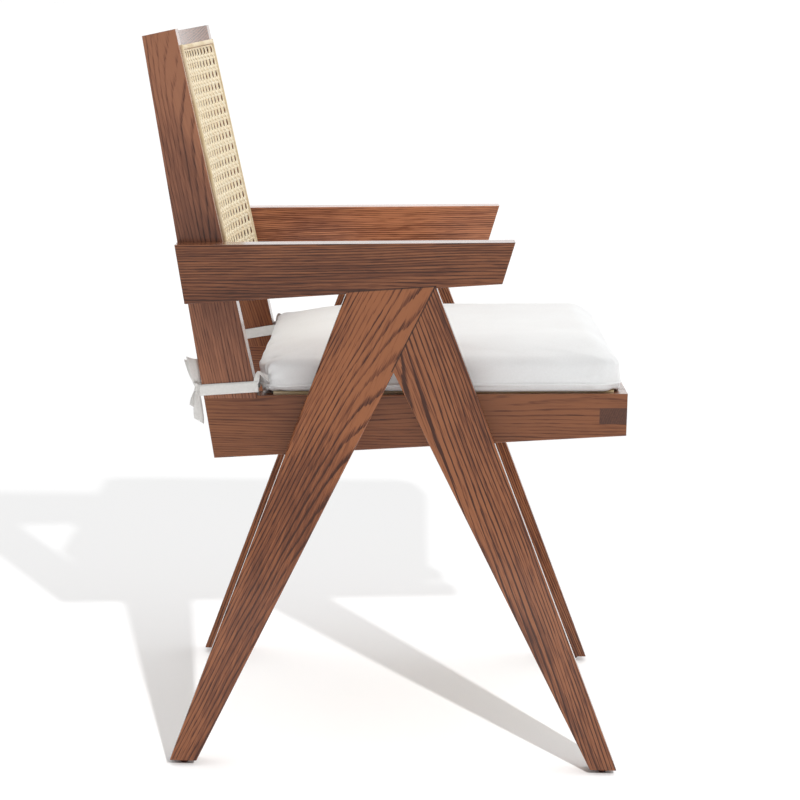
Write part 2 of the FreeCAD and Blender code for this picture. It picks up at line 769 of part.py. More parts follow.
# Cane and splines
def back_side_spline():
    return leaning_box("left_back_spline", BACK_FACE, ("back_cane_edge", "-back_spline_stand", "-back_spline_foot"),
                       ("spline_width", "groove_depth + back_spline_stand", "back_spline_foot - back_end_margin"))


def back_end_spline(label, down):
    return curved_strip(label, down, "spline_width", "-back_spline_stand", "groove_depth - fit_gap", "back_cane_edge")


def cane_openings(body):
    """A grid of openings through the back's cane, repeated from the lowest one at one side."""
    sketch = add_sketch(body, "XZ_Plane")
    margin_share = (1 - CANE_OPENING_SHARE) / 2
    left = f"(cane_opening_spacing * {margin_share} - back_cane_edge)"
    low = f"(cane_opening_rise * {margin_share} - back_cane_foot)"
    draw_outline(sketch, rectangle(left, low, f"{left} + cane_opening_spacing * {CANE_OPENING_SHARE}",
                                   f"{low} + cane_opening_rise * {CANE_OPENING_SHARE}"))
    pocket = body.newObject("PartDesign::Pocket", "cane_opening")
    pocket.Profile = sketch
    pocket.SideType = "Symmetric"
    pocket.setExpression("Length", bind("2 * (back_curve_depth + cut_overrun)"))
    pattern = body.newObject("PartDesign::LinearPattern", "cane_openings")
    pattern.Originals = [pocket]
    pattern.Direction = (sketch, ["H_Axis"])
    pattern.Occurrences = CANE_OPENINGS_ACROSS
    pattern.setExpression("Length", bind(f"cane_opening_spacing * {CANE_OPENINGS_ACROSS - 1}"))
    pattern.Direction2 = (sketch, ["V_Axis"])
    pattern.Occurrences2 = CANE_OPENINGS_UP
    pattern.setExpression("Length2", bind(f"cane_opening_rise * {CANE_OPENINGS_UP - 1}"))
    body.Tip = pattern


def back_cane():
    panel = curved_strip("back_cane", "back_cane_top", "back_cane_foot - back_cane_top",
                         "-(cane_thickness + fit_gap)", "-fit_gap", "back_cane_edge")
    cane_openings(panel)
    return panel


def seat_strip(label, low_across, high_across, back, front, low, high):
    """A flat strip in the seat's sloping frame."""
    return leaning_box(label, SEAT_TOP, (low_across, f"-({front})", low),
                       (f"({high_across}) - ({low_across})", f"({front}) - ({back})", f"({high}) - ({low})"))


def seat_side_spline():
    return seat_strip("left_seat_spline", "seat_cane_edge", "seat_spline_edge",
                      "seat_spline_back", "seat_spline_front", "-groove_depth", "seat_spline_stand")


def seat_end_spline(label, back, front):
    return seat_strip(label, "-seat_cane_edge", "seat_cane_edge", back, front, "-groove_depth", "seat_spline_stand")


def seat_cane():
    return seat_strip("seat_cane", "-seat_cane_edge", "seat_cane_edge",
                      "seat_cane_back", "seat_cane_front", "0", "cane_thickness")


# Seat cushion, lofted from back to front through sections with a crowned top and swollen sides
def cushion_section(body, place_share, draw_share, height_share, crown_share):
    sketch = add_sketch(body, "XZ_Plane", f"cushion_back + cushion_depth * {place_share}")
    half = f"(cushion_half_width - cushion_draw_in * {draw_share})"
    height = f"(cushion_thickness * {height_share})"
    crown = f"(cushion_crown * {crown_share})"
    top = f"(cushion_floor + {height})"
    side_radius = f"({height} ^ 2 / 4 + cushion_side_swell ^ 2) / (2 * cushion_side_swell)"
    crown_radius = f"({half} ^ 2 + {crown} ^ 2) / (2 * {crown})"
    side_middle = f"cushion_floor + {height} / 2"
    draw_outline(sketch, rectangle(f"-{half}", "cushion_floor", half, top), {
        1: (side_radius, f"{half} + cushion_side_swell", side_middle),
        2: (crown_radius, "0", f"{top} + {crown}"),
        3: (side_radius, f"-{half} - cushion_side_swell", side_middle),
    })
    return sketch


def seat_cushion():
    body = place(doc.addObject("PartDesign::Body", "seat_cushion"), "0", *SEAT_TOP)
    sections = [cushion_section(body, *shares) for shares in CUSHION_SECTION_SHARES]
    loft = body.newObject("PartDesign::AdditiveLoft", "cushion_form")
    loft.Profile = sections[0]
    loft.Sections = sections[1:]
    loft.Ruled = True
    return body


# Ribbon ties: a band round each post's foot, and a bow behind it
def band_outline(clear, spare):
    """The band's side outline at a distance from the post, and past the band's own edges."""
    back_low = f"(seat_back_height + ribbon_gap - {spare})"
    back_high = f"(seat_back_height + ribbon_gap + ribbon_width + {spare})"
    front_low = f"({seat_line('post_base_front')} + ribbon_gap - {spare})"
    front_high = f"({seat_line('post_base_front')} + ribbon_gap + ribbon_width + {spare})"
    return [
        (f"{post_back_line(back_low)} - {clear}", back_low),
        (f"{post_front_line(front_low)} + {clear}", front_low),
        (f"{post_front_line(front_high)} + {clear}", front_high),
        (f"{post_back_line(back_high)} - {clear}", back_high),
    ]


def tie_band():
    outside = prism("tie_band_outside", band_outline("band_wall", "0"),
                    "half_bay - band_wall", "frame_thickness + 2 * band_wall")
    inside = prism("tie_band_inside", band_outline("ribbon_gap", "cut_overrun"),
                   "half_bay - ribbon_gap", "frame_thickness + 2 * ribbon_gap")
    return cut("left_tie_band", outside, [inside])


def tie_knot():
    return leaning_box("left_tie_knot", POST_REAR, ("post_middle - knot_width / 2", "bow_front", "ribbon_gap"),
                       ("knot_width", "knot_depth", "ribbon_width"))


def tie_loop(middle):
    """A loop of the bow, standing on the knot, with the ribbon's width behind the post."""
    body = place(doc.addObject("PartDesign::Body", "tie_loop"), "0", *POST_REAR)
    sketch = add_sketch(body, "XZ_Plane", "-(bow_front + ribbon_width)")
    low = "ribbon_gap + ribbon_width"
    spring = f"{low} + loop_length - loop_half_width * {LOOP_RISE_SHARE}"
    left = f"({middle} - loop_half_width)"
    right = f"({middle} + loop_half_width)"
    points = [
        (left, low), (f"{left} + ribbon_thickness", low), (f"{left} + ribbon_thickness", spring),
        (f"{right} - ribbon_thickness", spring), (f"{right} - ribbon_thickness", low), (right, low),
        (right, spring), (left, spring),
    ]

    def rounded_top(half_width):
        rise = f"({half_width}) * {LOOP_RISE_SHARE}"
        radius = f"(({half_width}) ^ 2 + ({rise}) ^ 2) / (2 * ({rise}))"
        return radius, middle, f"{spring} + {rise}"

    draw_outline(sketch, points, {2: rounded_top("loop_half_width - ribbon_thickness"),
                                  6: rounded_top("loop_half_width")})
    pad(body, sketch, "ribbon_width")
    return body


def tie_tail(middle, length):
    return leaning_box("tie_tail", POST_REAR,
                       (f"{middle} - ribbon_thickness / 2", "bow_front", f"ribbon_gap - {length}"),
                       ("ribbon_thickness", "ribbon_width", length))


# Build the chair
keep_pair(rear_leg(), "rear_leg")
keep_pair(front_leg(), "front_leg")
keep_pair(arm(), "arm")
keep_pair(side_rail(), "side_rail")
keep_pair(back_post(), "back_post")
keep(front_seat_rail(), "front_seat_rail")
keep(rear_seat_rail(), "rear_seat_rail")
keep(curved_rail("back_top_rail", "0", "back_end_margin"), "back_top_rail")
keep(curved_rail("back_bottom_rail", "bottom_rail_top", "back_cane_foot"), "back_bottom_rail")

keep(back_cane(), "back_cane")
keep(back_end_spline("back_top_spline", "back_end_margin"), "back_top_spline")
keep(back_end_spline("back_bottom_spline", "back_cane_foot"), "back_bottom_spline")
keep_pair(back_side_spline(), "back_spline")
keep(seat_cane(), "seat_cane")
keep(seat_end_spline("front_seat_spline", "seat_cane_front", "seat_spline_front"), "front_seat_spline")
keep(seat_end_spline("rear_seat_spline", "seat_spline_back", "seat_cane_back"), "rear_seat_spline")
keep_pair(seat_side_spline(), "seat_spline")

keep(seat_cushion(), "seat_cushion")
keep_pair(tie_band(), "tie_band")
keep_pair(tie_knot(), "tie_knot")
outer_loop = "(post_middle + loop_offset)"
inner_loop = "(post_middle - loop_offset)"
keep_pair(group("left_tie_loops", [tie_loop(outer_loop), tie_loop(inner_loop)]), "tie_loops")
keep_pair(group("left_tie_tails", [tie_tail(outer_loop, "tail_length"), tie_tail(inner_loop, "short_tail_length")]),
          "tie_tails")

keep_group("foot_glides", [foot_glide("rear_foot_middle"), foot_glide("front_foot_middle")])
keep_group("glide_nails", [glide_nail("rear_foot_middle"), glide_nail("front_foot_middle")])
keep_group("leg_dowels", leg_dowels())
keep_group("arm_dowels", arm_dowels())
keep_group("post_dowels", post_dowels())
keep_group("leg_screws", rear_leg_screws() + front_leg_screws())
keep_group("post_tenons", [post_tenon()])

doc.recompute()
for item in doc.Objects:
    if {"Invalid", "Error"} & set(item.State):
        raise RuntimeError(f"{item.Label} did not build: {item.getStatusString()}")
for label, piece in nodes.items():
    if piece.Shape.isNull() or not piece.Shape.isValid() or not piece.Shape.Solids:
        raise RuntimeError(f"{label} is not a valid solid")

os.makedirs("parts", exist_ok=True)
for label, piece in nodes.items():
    piece.Shape.exportStep(f"parts/{label}.step")
    print(f"{label}: {len(piece.Shape.Solids)} solids, {piece.Shape.Volume / 1000:.1f} cm3")
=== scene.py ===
# %% [markdown]
# A cane armchair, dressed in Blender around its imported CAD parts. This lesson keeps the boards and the
# small parts, and makes what CAD leaves plain: the woven cane, the reed that holds it, the stuffed
# cushion and its ribbons.

# %% Load the chair
import math
from functools import partial, reduce

import bmesh
import bpy
from mathutils import Euler, Matrix, Vector, bvhtree, noise


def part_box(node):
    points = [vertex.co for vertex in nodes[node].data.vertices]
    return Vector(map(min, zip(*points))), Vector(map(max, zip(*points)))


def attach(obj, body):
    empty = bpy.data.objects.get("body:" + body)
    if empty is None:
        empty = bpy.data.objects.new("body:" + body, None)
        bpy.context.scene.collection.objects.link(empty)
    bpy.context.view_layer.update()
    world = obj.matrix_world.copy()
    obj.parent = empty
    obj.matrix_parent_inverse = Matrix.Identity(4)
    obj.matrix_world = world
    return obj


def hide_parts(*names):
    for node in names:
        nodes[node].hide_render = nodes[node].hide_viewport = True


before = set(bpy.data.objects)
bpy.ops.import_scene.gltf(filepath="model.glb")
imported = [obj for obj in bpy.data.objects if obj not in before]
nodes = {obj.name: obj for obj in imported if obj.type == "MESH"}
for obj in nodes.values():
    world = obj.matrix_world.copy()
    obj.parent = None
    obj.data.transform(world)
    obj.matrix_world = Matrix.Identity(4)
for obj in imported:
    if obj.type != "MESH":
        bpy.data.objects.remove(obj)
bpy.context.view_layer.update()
scene = bpy.context.scene

# %% [markdown]
# The camera stands at the sitter's right and looks across the chair, so both sides nearly line up.
# It could be aimed with a Track To constraint. Here its axes are written as a matrix, because the photograph
# also has a small roll, and a matrix holds the tilt and the roll together.

# %% Camera
CAMERA_PLACE = Vector((-2.9593, -0.0202, 0.8272))
CAMERA_TILT = math.radians(8.842)
CAMERA_ROLL = math.radians(1.378)
CAMERA_LENS = 115.55
CAMERA_SENSOR = 36.0


def add_camera():
    data = bpy.data.cameras.new("photo_camera")
    data.sensor_width = CAMERA_SENSOR
    data.lens = CAMERA_LENS
    camera = bpy.data.objects.new("photo_camera", data)
    scene.collection.objects.link(camera)
    right = Vector((0, -1, 0))
    up = Vector((math.sin(CAMERA_TILT), 0, math.cos(CAMERA_TILT)))
    rolled_right = right * math.cos(CAMERA_ROLL) + up * math.sin(CAMERA_ROLL)
    rolled_up = up * math.cos(CAMERA_ROLL) - right * math.sin(CAMERA_ROLL)
    axes = Matrix((rolled_right, rolled_up, rolled_right.cross(rolled_up))).transposed()
    camera.matrix_world = Matrix.Translation(CAMERA_PLACE) @ axes.to_4x4()
    scene.camera = camera
    return camera


print("camera lens in mm:", round(add_camera().data.lens, 2))

# %% [markdown]
# A product photograph on white needs a floor that stays white and only a breath of shadow.
# A bright world does most of the lighting. It could be an even white, but then sides and tops would look
# alike, so it is brightest overhead and behind the chair, and a little brighter before the sitter. A very
# wide sun stands for a soft box and fills the near side.
# The photograph's long shadow is thrown by the near side alone, from a small lamp beside the camera. Light
# linking does the same: that lamp lights only the floor, and only the near boards and the cushion stand in
# its way.


# %% Small helpers for pieces and node trees
def new_piece(name, mesh, finish=None):
    """A mesh object at the origin, with its finish."""
    piece = bpy.data.objects.new(name, mesh)
    scene.collection.objects.link(piece)
    if finish is not None:
        mesh.materials.append(finish)
    return piece


def feed(tree, node, inputs):
    """Set or link a node's inputs, given by their names or numbers."""
    for name, value in inputs.items():
        if isinstance(value, bpy.types.NodeSocket):
            tree.links.new(value, node.inputs[name])
        else:
            node.inputs[name].default_value = value


def add_node(tree, kind, inputs=None, **options):
    """Add a node, set its options, and feed its inputs."""
    made = tree.nodes.new(kind)
    for name, value in options.items():
        setattr(made, name, value)
    feed(tree, made, inputs or {})
    return made


def calculate(tree, operation, first, second=0.0, third=0.0):
    """A sum of one step, as a Math node's result."""
    return add_node(tree, "ShaderNodeMath", {0: first, 1: second, 2: third}, operation=operation).outputs[0]


def calculate_vector(tree, operation, first, second=(0, 0, 0), third=(0, 0, 0)):
    """A step with vectors, as a Vector Math node's result: a number for a length or a dot product."""
    made = add_node(tree, "ShaderNodeVectorMath", {0: first, 1: second, 2: third}, operation=operation)
    return made.outputs["Value" if operation in ("LENGTH", "DOT_PRODUCT") else "Vector"]


def between(tree, value, low, high, low_result=0.0, high_result=1.0):
    """Map a value smoothly from one range to another."""
    inputs = {"Value": value, "From Min": low, "From Max": high, "To Min": low_result, "To Max": high_result}
    return add_node(tree, "ShaderNodeMapRange", inputs, interpolation_type="SMOOTHSTEP").outputs["Result"]


def mix_colours(tree, share, first, second):
    """Mix two colours. A Mix node has its colour sockets at the numbers 6 and 7."""
    return add_node(tree, "ShaderNodeMix", {0: share, 6: first, 7: second}, data_type="RGBA").outputs[2]


def new_finish(name):
    """A material with an empty tree, its shader and its object coordinates."""
    finish = bpy.data.materials.new(name)
    finish.use_nodes = True
    tree = finish.node_tree
    shader = tree.nodes["Principled BSDF"]
    place = add_node(tree, "ShaderNodeTexCoord").outputs["Object"]
    return finish, tree, shader, place


def paint(shade):
    """Turn a screen colour of 0 to 255 into a shader's linear colour, by the sRGB curve."""
    linear = []
    for part in shade:
        share = part / 255
        linear.append(share / 12.92 if share <= 0.04045 else ((share + 0.055) / 1.055) ** 2.4)
    return (*linear, 1.0)


# %% Floor, world and lamps
WHITE = (1.0, 1.0, 1.0, 1.0)
FLOOR_HALF = 200.0
FLOOR_LOOK = {"Base Color": (0.85, 0.85, 0.85, 1.0), "Roughness": 0.9, "Specular IOR Level": 0.0,
              "Emission Color": WHITE}
FLOOR_GLOW = 0.16
GLOW_START = 1.5
GLOW_END = 4.0
WORLD_BASE = 0.43
WORLD_OVERHEAD = 0.92
WORLD_BEHIND = 0.63
WORLD_AHEAD = 0.3
SOFT_BOX_STRENGTH = 0.4
SOFT_BOX_WIDTH = math.radians(60.0)
SOFT_BOX_TRAVEL = Vector((2.12, -0.2, -0.95))
FLOOR_LAMP_PLACE = Vector((-2.79, -0.765, 1.55))
FLOOR_LAMP_POWER = 430.0
FLOOR_LAMP_AIM = Vector((0.4, 0, 0))
FLOOR_LAMP_CONE = math.radians(42.0)
FLOOR_LAMP_BLEND = 0.2
FLOOR_LAMP_RADIUS = 0.03
SHADOW_PARTS = ("right_rear_leg", "right_front_leg", "right_arm", "right_side_rail", "right_back_post")


def add_floor():
    """A wide white floor that glows a little far from the chair."""
    finish, tree, shader, place = new_finish("white_floor")
    glow = between(tree, calculate_vector(tree, "LENGTH", place), GLOW_START, GLOW_END, 0.0, FLOOR_GLOW)
    feed(tree, shader, FLOOR_LOOK | {"Emission Strength": glow})
    mesh = bpy.data.meshes.new("studio_floor")
    corners = [(x * FLOOR_HALF, y * FLOOR_HALF, 0) for x, y in ((-1, -1), (1, -1), (1, 1), (-1, 1))]
    mesh.from_pydata(corners, [], [(0, 1, 2, 3)])
    floor = new_piece("studio_floor", mesh, finish)
    return floor


def add_world():
    """A white studio: brightest overhead, brighter behind the chair than behind the camera, and a little
    brighter before the sitter than at the sitter's back."""
    world = bpy.data.worlds.new("white_studio")
    world.use_nodes = True
    tree = world.node_tree
    direction = add_node(tree, "ShaderNodeTexCoord").outputs["Generated"]
    parts = add_node(tree, "ShaderNodeSeparateXYZ", {0: direction}).outputs
    brightness = WORLD_BASE
    for axis, gain in (("Z", WORLD_OVERHEAD), ("X", WORLD_BEHIND), ("Y", -WORLD_AHEAD)):
        brightness = calculate(tree, "MULTIPLY_ADD", parts[axis], gain, brightness)
    brightness = calculate(tree, "MAXIMUM", brightness, 0.0)
    feed(tree, tree.nodes["Background"], {"Color": WHITE, "Strength": brightness})
    scene.world = world


def add_lamp(name, kind, travel, place=(0, 0, 0), **settings):
    """A lamp whose light travels in one direction."""
    data = bpy.data.lights.new(name, kind)
    for setting, value in settings.items():
        setattr(data, setting, value)
    lamp = bpy.data.objects.new(name, data)
    lamp.location = place
    lamp.rotation_euler = travel.to_track_quat("-Z", "Y").to_euler()
    scene.collection.objects.link(lamp)
    return lamp


def new_group(name, *members):
    """A collection for light linking."""
    group = bpy.data.collections.new(name)
    for member in members:
        group.objects.link(member)
    return group


def add_soft_box(floor):
    """A wide sun from the camera's side that leaves the floor alone."""
    lamp = add_lamp("soft_box", "SUN", SOFT_BOX_TRAVEL, energy=SOFT_BOX_STRENGTH, angle=SOFT_BOX_WIDTH)
    lit = new_group("lit_by_soft_box", floor)
    lit.collection_objects[0].light_linking.link_state = "EXCLUDE"
    lamp.light_linking.receiver_collection = lit


def add_floor_lamp(floor):
    """A small lamp for the floor alone. Returns the group of what stands in its way."""
    lamp = add_lamp("floor_lamp", "SPOT", FLOOR_LAMP_AIM - FLOOR_LAMP_PLACE, FLOOR_LAMP_PLACE,
                    energy=FLOOR_LAMP_POWER, shadow_soft_size=FLOOR_LAMP_RADIUS,
                    spot_size=FLOOR_LAMP_CONE, spot_blend=FLOOR_LAMP_BLEND)
    lamp.light_linking.receiver_collection = new_group("lit_by_floor_lamp", floor)
    blocking = new_group("in_the_way_of_floor_lamp", *(nodes[node] for node in SHADOW_PARTS))
    lamp.light_linking.blocker_collection = blocking
    return blocking


scene.view_settings.view_transform = "Standard"
white_floor = add_floor()
add_world()
add_soft_box(white_floor)
shadow_parts = add_floor_lamp(white_floor)

# %% [markdown]
# The wood is open-pored and stained a warm walnut brown. On the real boards the dark lines are the spring
# pores of each year's ring, so the pattern is built as the tree grew it: rings round a pith that lies
# outside the board.
# A plain Wave Texture would repeat. Measuring each point's distance from a wandering pith gives flames on
# flat-cut faces, straight lines on the edges and arcs on the end grain, all from one rule.

# %% Clouds, surfaces and sockets that the finishes share
# A Noise Texture's values lie mostly in the first range, and nearly always in the second
NOISE_MOST = (0.3, 0.7)
NOISE_ALL = (0.2, 0.8)
TO_MIDDLE = (-0.5, -0.5, -0.5)


def cloud(tree, place, scale, detail, output="Fac"):
    """Soft random blots, as a Noise Texture's value or colour."""
    inputs = {"Vector": place, "Scale": scale, "Detail": detail}
    return add_node(tree, "ShaderNodeTexNoise", inputs).outputs[output]


def swayed(tree, place, drift, reach):
    """Move a place by a cloud's colour, by up to half the reach each way."""
    drift = calculate_vector(tree, "ADD", drift, TO_MIDDLE)
    return calculate_vector(tree, "MULTIPLY_ADD", drift, reach, place)


def weighted(tree, first, second, share):
    """Two values added, the first by its share and the second by the rest."""
    return calculate(tree, "MULTIPLY_ADD", first, share, calculate(tree, "MULTIPLY", second, 1 - share))


def finish_surface(tree, shader, colour, roughness, relief, others=None):
    """Feed a shader its colour, its roughness, and its relief: a height, a strength and a depth."""
    bump = add_node(tree, "ShaderNodeBump", dict(zip(("Height", "Strength", "Distance"), relief)))
    look = {"Base Color": colour, "Roughness": roughness, "Normal": bump.outputs["Normal"]}
    feed(tree, shader, look | (others or {}))


def new_tree(name, kind, inputs, outputs):
    """A node tree with its sockets: inputs as name: (socket kind, value), outputs as name: socket kind."""
    tree = bpy.data.node_groups.new(name, kind)
    for label, socket_kind in outputs.items():
        tree.interface.new_socket(label, in_out="OUTPUT", socket_type="NodeSocket" + socket_kind)
    for label, (socket_kind, value) in inputs.items():
        socket = tree.interface.new_socket(label, in_out="INPUT", socket_type="NodeSocket" + socket_kind)
        if value is not None:
            socket.default_value = value
    return tree, add_node(tree, "NodeGroupInput").outputs


# %% Grain of the stained wood
BROWNS = {"Light": paint((159, 98, 61)), "Middle": paint((126, 72, 44)), "Dark": paint((72, 37, 22))}
RING_WIDTH = 0.0023
# Each cloud is drawn out along the board by a share, the smaller the longer, and has a scale and a detail
SWAY_CLOUD = (0.22, 9.0, 2.0)
WOBBLE_CLOUD = (0.12, 60.0, 1.0)
RAGGED_CLOUD = (0.03, 480.0, 1.0)
PORE_CLOUD = (0.05, 900.0, 1.0)
STREAK_CLOUD = (0.02, 420.0, 2.0)
BROAD_CLOUD = (0.3, 11.0, 2.0)
SWAY_REACH = 0.016
WOBBLE_REACH = 0.0022
RAGGED_REACH = 0.24
# The shares of a year in which the spring pores begin and end, and their strength in a weak and a strong year
SPRING_START = (0.0, 0.08)
SPRING_END = (0.13, 0.46)
YEAR_STRENGTH = (0.45, 1.0)
PORE_RANGE = (0.48, 0.64)
SPRING_BASE = 0.65
SPRING_IN_PORES = 0.45
# What each cloud adds to the darkness of the stain, and where the darkness passes from shade to shade
SPRING_DARKNESS = 1.25
PORE_DARKNESS = 0.18
STREAK_DARKNESS = (-0.17, 0.21)
BROAD_DARKNESS = (-0.22, 0.3)
LIGHT_TO_MIDDLE = (-0.1, 0.4)
MIDDLE_TO_DARK = (0.25, 0.95)
WOOD_ROUGHNESS = (0.42, 0.62)
SPRING_HEIGHT = -0.4
PORE_HEIGHT = -0.6


def board_cloud(tree, point, stretch, scale, detail, output="Fac"):
    """A cloud drawn out along the board."""
    return cloud(tree, calculate_vector(tree, "MULTIPLY", point, (1, 1, stretch)), scale, detail, output)


def ring_number(tree, point, ring_width):
    """How many rings lie between a point and the pith, which wanders along the board."""
    bent = point
    for drift, reach in ((SWAY_CLOUD, SWAY_REACH), (WOBBLE_CLOUD, WOBBLE_REACH)):
        bent = swayed(tree, bent, board_cloud(tree, point, *drift, "Color"), (reach, reach, 0))
    from_pith = calculate_vector(tree, "LENGTH", calculate_vector(tree, "MULTIPLY", bent, (1, 1, 0)))
    ragged = calculate(tree, "SUBTRACT", board_cloud(tree, point, *RAGGED_CLOUD), 0.5)
    rings = calculate(tree, "DIVIDE", from_pith, ring_width)
    return calculate(tree, "MULTIPLY_ADD", ragged, RAGGED_REACH, rings)


def spring_pores(tree, rings, pores):
    """The pores at the start of each year's ring: sharp at first, then fading, and stronger in some years."""
    step = partial(calculate, tree)
    year = step("FRACT", rings)
    band = step("MULTIPLY", between(tree, year, *SPRING_START), between(tree, year, *SPRING_END, 1.0, 0.0))
    luck = add_node(tree, "ShaderNodeTexWhiteNoise", {"W": step("FLOOR", rings)}, noise_dimensions="1D")
    band = step("MULTIPLY", band, between(tree, luck.outputs["Value"], 0.0, 1.0, *YEAR_STRENGTH))
    return step("MULTIPLY", band, step("MULTIPLY_ADD", pores, SPRING_IN_PORES, SPRING_BASE))


def wood_grain_group():
    """A node group that turns a board's own point into its colour, its roughness and its pore height."""
    inputs = {"Board point": ("Vector", None)} | {name: ("Color", shade) for name, shade in BROWNS.items()}
    inputs |= {"Ring width": ("Float", RING_WIDTH), "Figure": ("Float", 1.0)}
    outputs = {"Colour": "Color", "Roughness": "Float", "Pores": "Float"}
    tree, board = new_tree("wood_grain", "ShaderNodeTree", inputs, outputs)
    step = partial(calculate, tree)
    point = board["Board point"]
    pores = between(tree, board_cloud(tree, point, *PORE_CLOUD), *PORE_RANGE)
    spring = spring_pores(tree, ring_number(tree, point, board["Ring width"]), pores)
    streak = between(tree, board_cloud(tree, point, *STREAK_CLOUD), *NOISE_MOST, *STREAK_DARKNESS)
    broad = between(tree, board_cloud(tree, point, *BROAD_CLOUD), *NOISE_MOST, *BROAD_DARKNESS)
    darkness = step("MULTIPLY_ADD", spring, SPRING_DARKNESS, step("MULTIPLY", pores, PORE_DARKNESS))
    darkness = step("MULTIPLY_ADD", step("ADD", darkness, streak), board["Figure"], broad)
    warm = mix_colours(tree, between(tree, darkness, *LIGHT_TO_MIDDLE), board["Light"], board["Middle"])
    colour = mix_colours(tree, between(tree, darkness, *MIDDLE_TO_DARK), warm, board["Dark"])
    roughness = between(tree, darkness, 0.0, 1.0, *WOOD_ROUGHNESS)
    height = step("MULTIPLY_ADD", spring, SPRING_HEIGHT, step("MULTIPLY", pores, PORE_HEIGHT))
    add_node(tree, "NodeGroupOutput", {"Colour": colour, "Roughness": roughness, "Pores": height})
    return tree


wood_grain = wood_grain_group()
print("grain nodes:", len(wood_grain.nodes))

# %% [markdown]
# Every board is its own piece of timber, so each gets its own copy of the finish. A Mapping node turns the
# pattern until its pith runs along that board, and sets the pith beside it. A small tilt of the pith makes
# the flames.
# Where a leg meets the arm or the other leg, the stain gathers in the joint as a thin dark line. It could
# be a real groove, but a line this fine is only a colour, measured as the distance from the plane of the
# joint.

# %% Stain each board along its length
END_GRAIN = paint((80, 53, 44))
END_FACING = (0.8, 0.97)
END_SHARE = 0.75
SEAM_BROWN = paint((38, 22, 18))
SEAM_WIDTH = 0.0019
SEAM_SHARE = 0.85
PORE_RELIEF = (0.3, 0.0004)
LACQUER = {"Specular IOR Level": 0.1, "Coat Weight": 1.0, "Coat IOR": 1.35, "Coat Roughness": 0.16}
# Each joint is a place on its plane and the plane's direction
ARM_JOINT = ((0, 0.0396, 0.5224), (0, 0.0872, 0.9962))
LEG_JOINT = ((0, -0.0099, 0.4378), (0, 0.9035, 0.4285))
BOARD_JOINTS = {"rear_leg": (ARM_JOINT,), "front_leg": (ARM_JOINT, LEG_JOINT)}


def darkened_seam(tree, place, colour, joint):
    """Mix a dark line into a colour along the plane of a joint."""
    point, direction = joint
    away = calculate_vector(tree, "DOT_PRODUCT", calculate_vector(tree, "SUBTRACT", place, point), direction)
    share = between(tree, calculate(tree, "ABSOLUTE", away), SEAM_WIDTH / 2, SEAM_WIDTH, SEAM_SHARE, 0.0)
    return mix_colours(tree, share, colour, SEAM_BROWN)


def stained(strength, grey):
    """The stain's browns for one board, made darker or lighter, and partly grey: its own colour and a painted
    sheen.
    """
    shades = {}
    for name, shade in BROWNS.items():
        level = sum(shade[:3]) / 3
        # Greying towards the mean: partly the board's own colour, partly a painted veil of reflection
        shades[name] = (*((part + (level - part) * grey) * strength for part in shade[:3]), 1.0)
    return shades


def wood_finish(name, along, face, middle, pith, shades, ring_width=RING_WIDTH, figure=1.0, joints=()):
    """A board's finish: its directions along and of its face, and its pith's depth, side and tilt."""
    depth, sideways, tilt = pith
    along = Vector(along).normalized()
    side = along.cross(Vector(face)).normalized()
    face = side.cross(along)
    turned = Matrix((face, side, along)).transposed() @ Euler((0, math.radians(tilt), 0)).to_matrix()
    finish, tree, shader, place = new_finish(name)
    timber = {"Vector": place, "Location": Vector(middle) + face * depth + side * sideways,
              "Rotation": turned.to_euler()}
    point = add_node(tree, "ShaderNodeMapping", timber, vector_type="TEXTURE").outputs["Vector"]
    inputs = {"Board point": point, "Ring width": ring_width, "Figure": figure} | shades
    grain = add_node(tree, "ShaderNodeGroup", inputs, node_tree=wood_grain).outputs
    normal = add_node(tree, "ShaderNodeNewGeometry").outputs["Normal"]
    facing_end = calculate(tree, "ABSOLUTE", calculate_vector(tree, "DOT_PRODUCT", normal, along))
    end = between(tree, facing_end, *END_FACING, 0.0, END_SHARE)
    colour = mix_colours(tree, end, grain["Colour"], END_GRAIN)
    for joint in joints:
        colour = darkened_seam(tree, place, colour, joint)
    finish_surface(tree, shader, colour, grain["Roughness"], (grain["Pores"], *PORE_RELIEF), LACQUER)
    return finish


def dress(node, finish):
    """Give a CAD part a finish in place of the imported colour."""
    materials = nodes[node].data.materials
    materials.clear()
    materials.append(finish)


def middle_of(node):
    low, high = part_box(node)
    return (low + high) / 2


def lean(degrees):
    """A direction in the chair's side view, tipped forwards from upright."""
    angle = math.radians(degrees)
    return (0, -math.sin(angle), math.cos(angle))


# Lean of the board, width of its rings, strength of its figure, its pith's depth, side and tilt, and for the
# right and the left board the strength and the greyness of its stain. The greyness is partly the board's own
# colour and partly a painted veil of reflection, most on the right back post.
SIDE_BOARDS = {
    "rear_leg": (22.3, 0.0028, 1.0, (0.06, -0.036, 3.2), (0.95, 0.0), (0.82, 0.0)),
    "front_leg": (-22.6, 0.0023, 1.75, (0.055, 0.05, -1.2), (0.93, 0.03), (0.92, 0.0)),
    "arm": (87.5, 0.0021, 1.3, (0.05, -0.06, 0.6), (0.79, 0.04), (1.75, 0.12)),
    "side_rail": (90.5, 0.0019, 0.6, (0.055, 0.045, 0.8), (0.74, 0.03), (0.95, 0.0)),
    "back_post": (-16.0, 0.0021, 0.6, (0.052, -0.035, 2.6), (1.12, 0.17), (0.8, 0.0)),
}
# How many times as deep the piths of the left boards lie
LEFT_DEPTH = 1.15
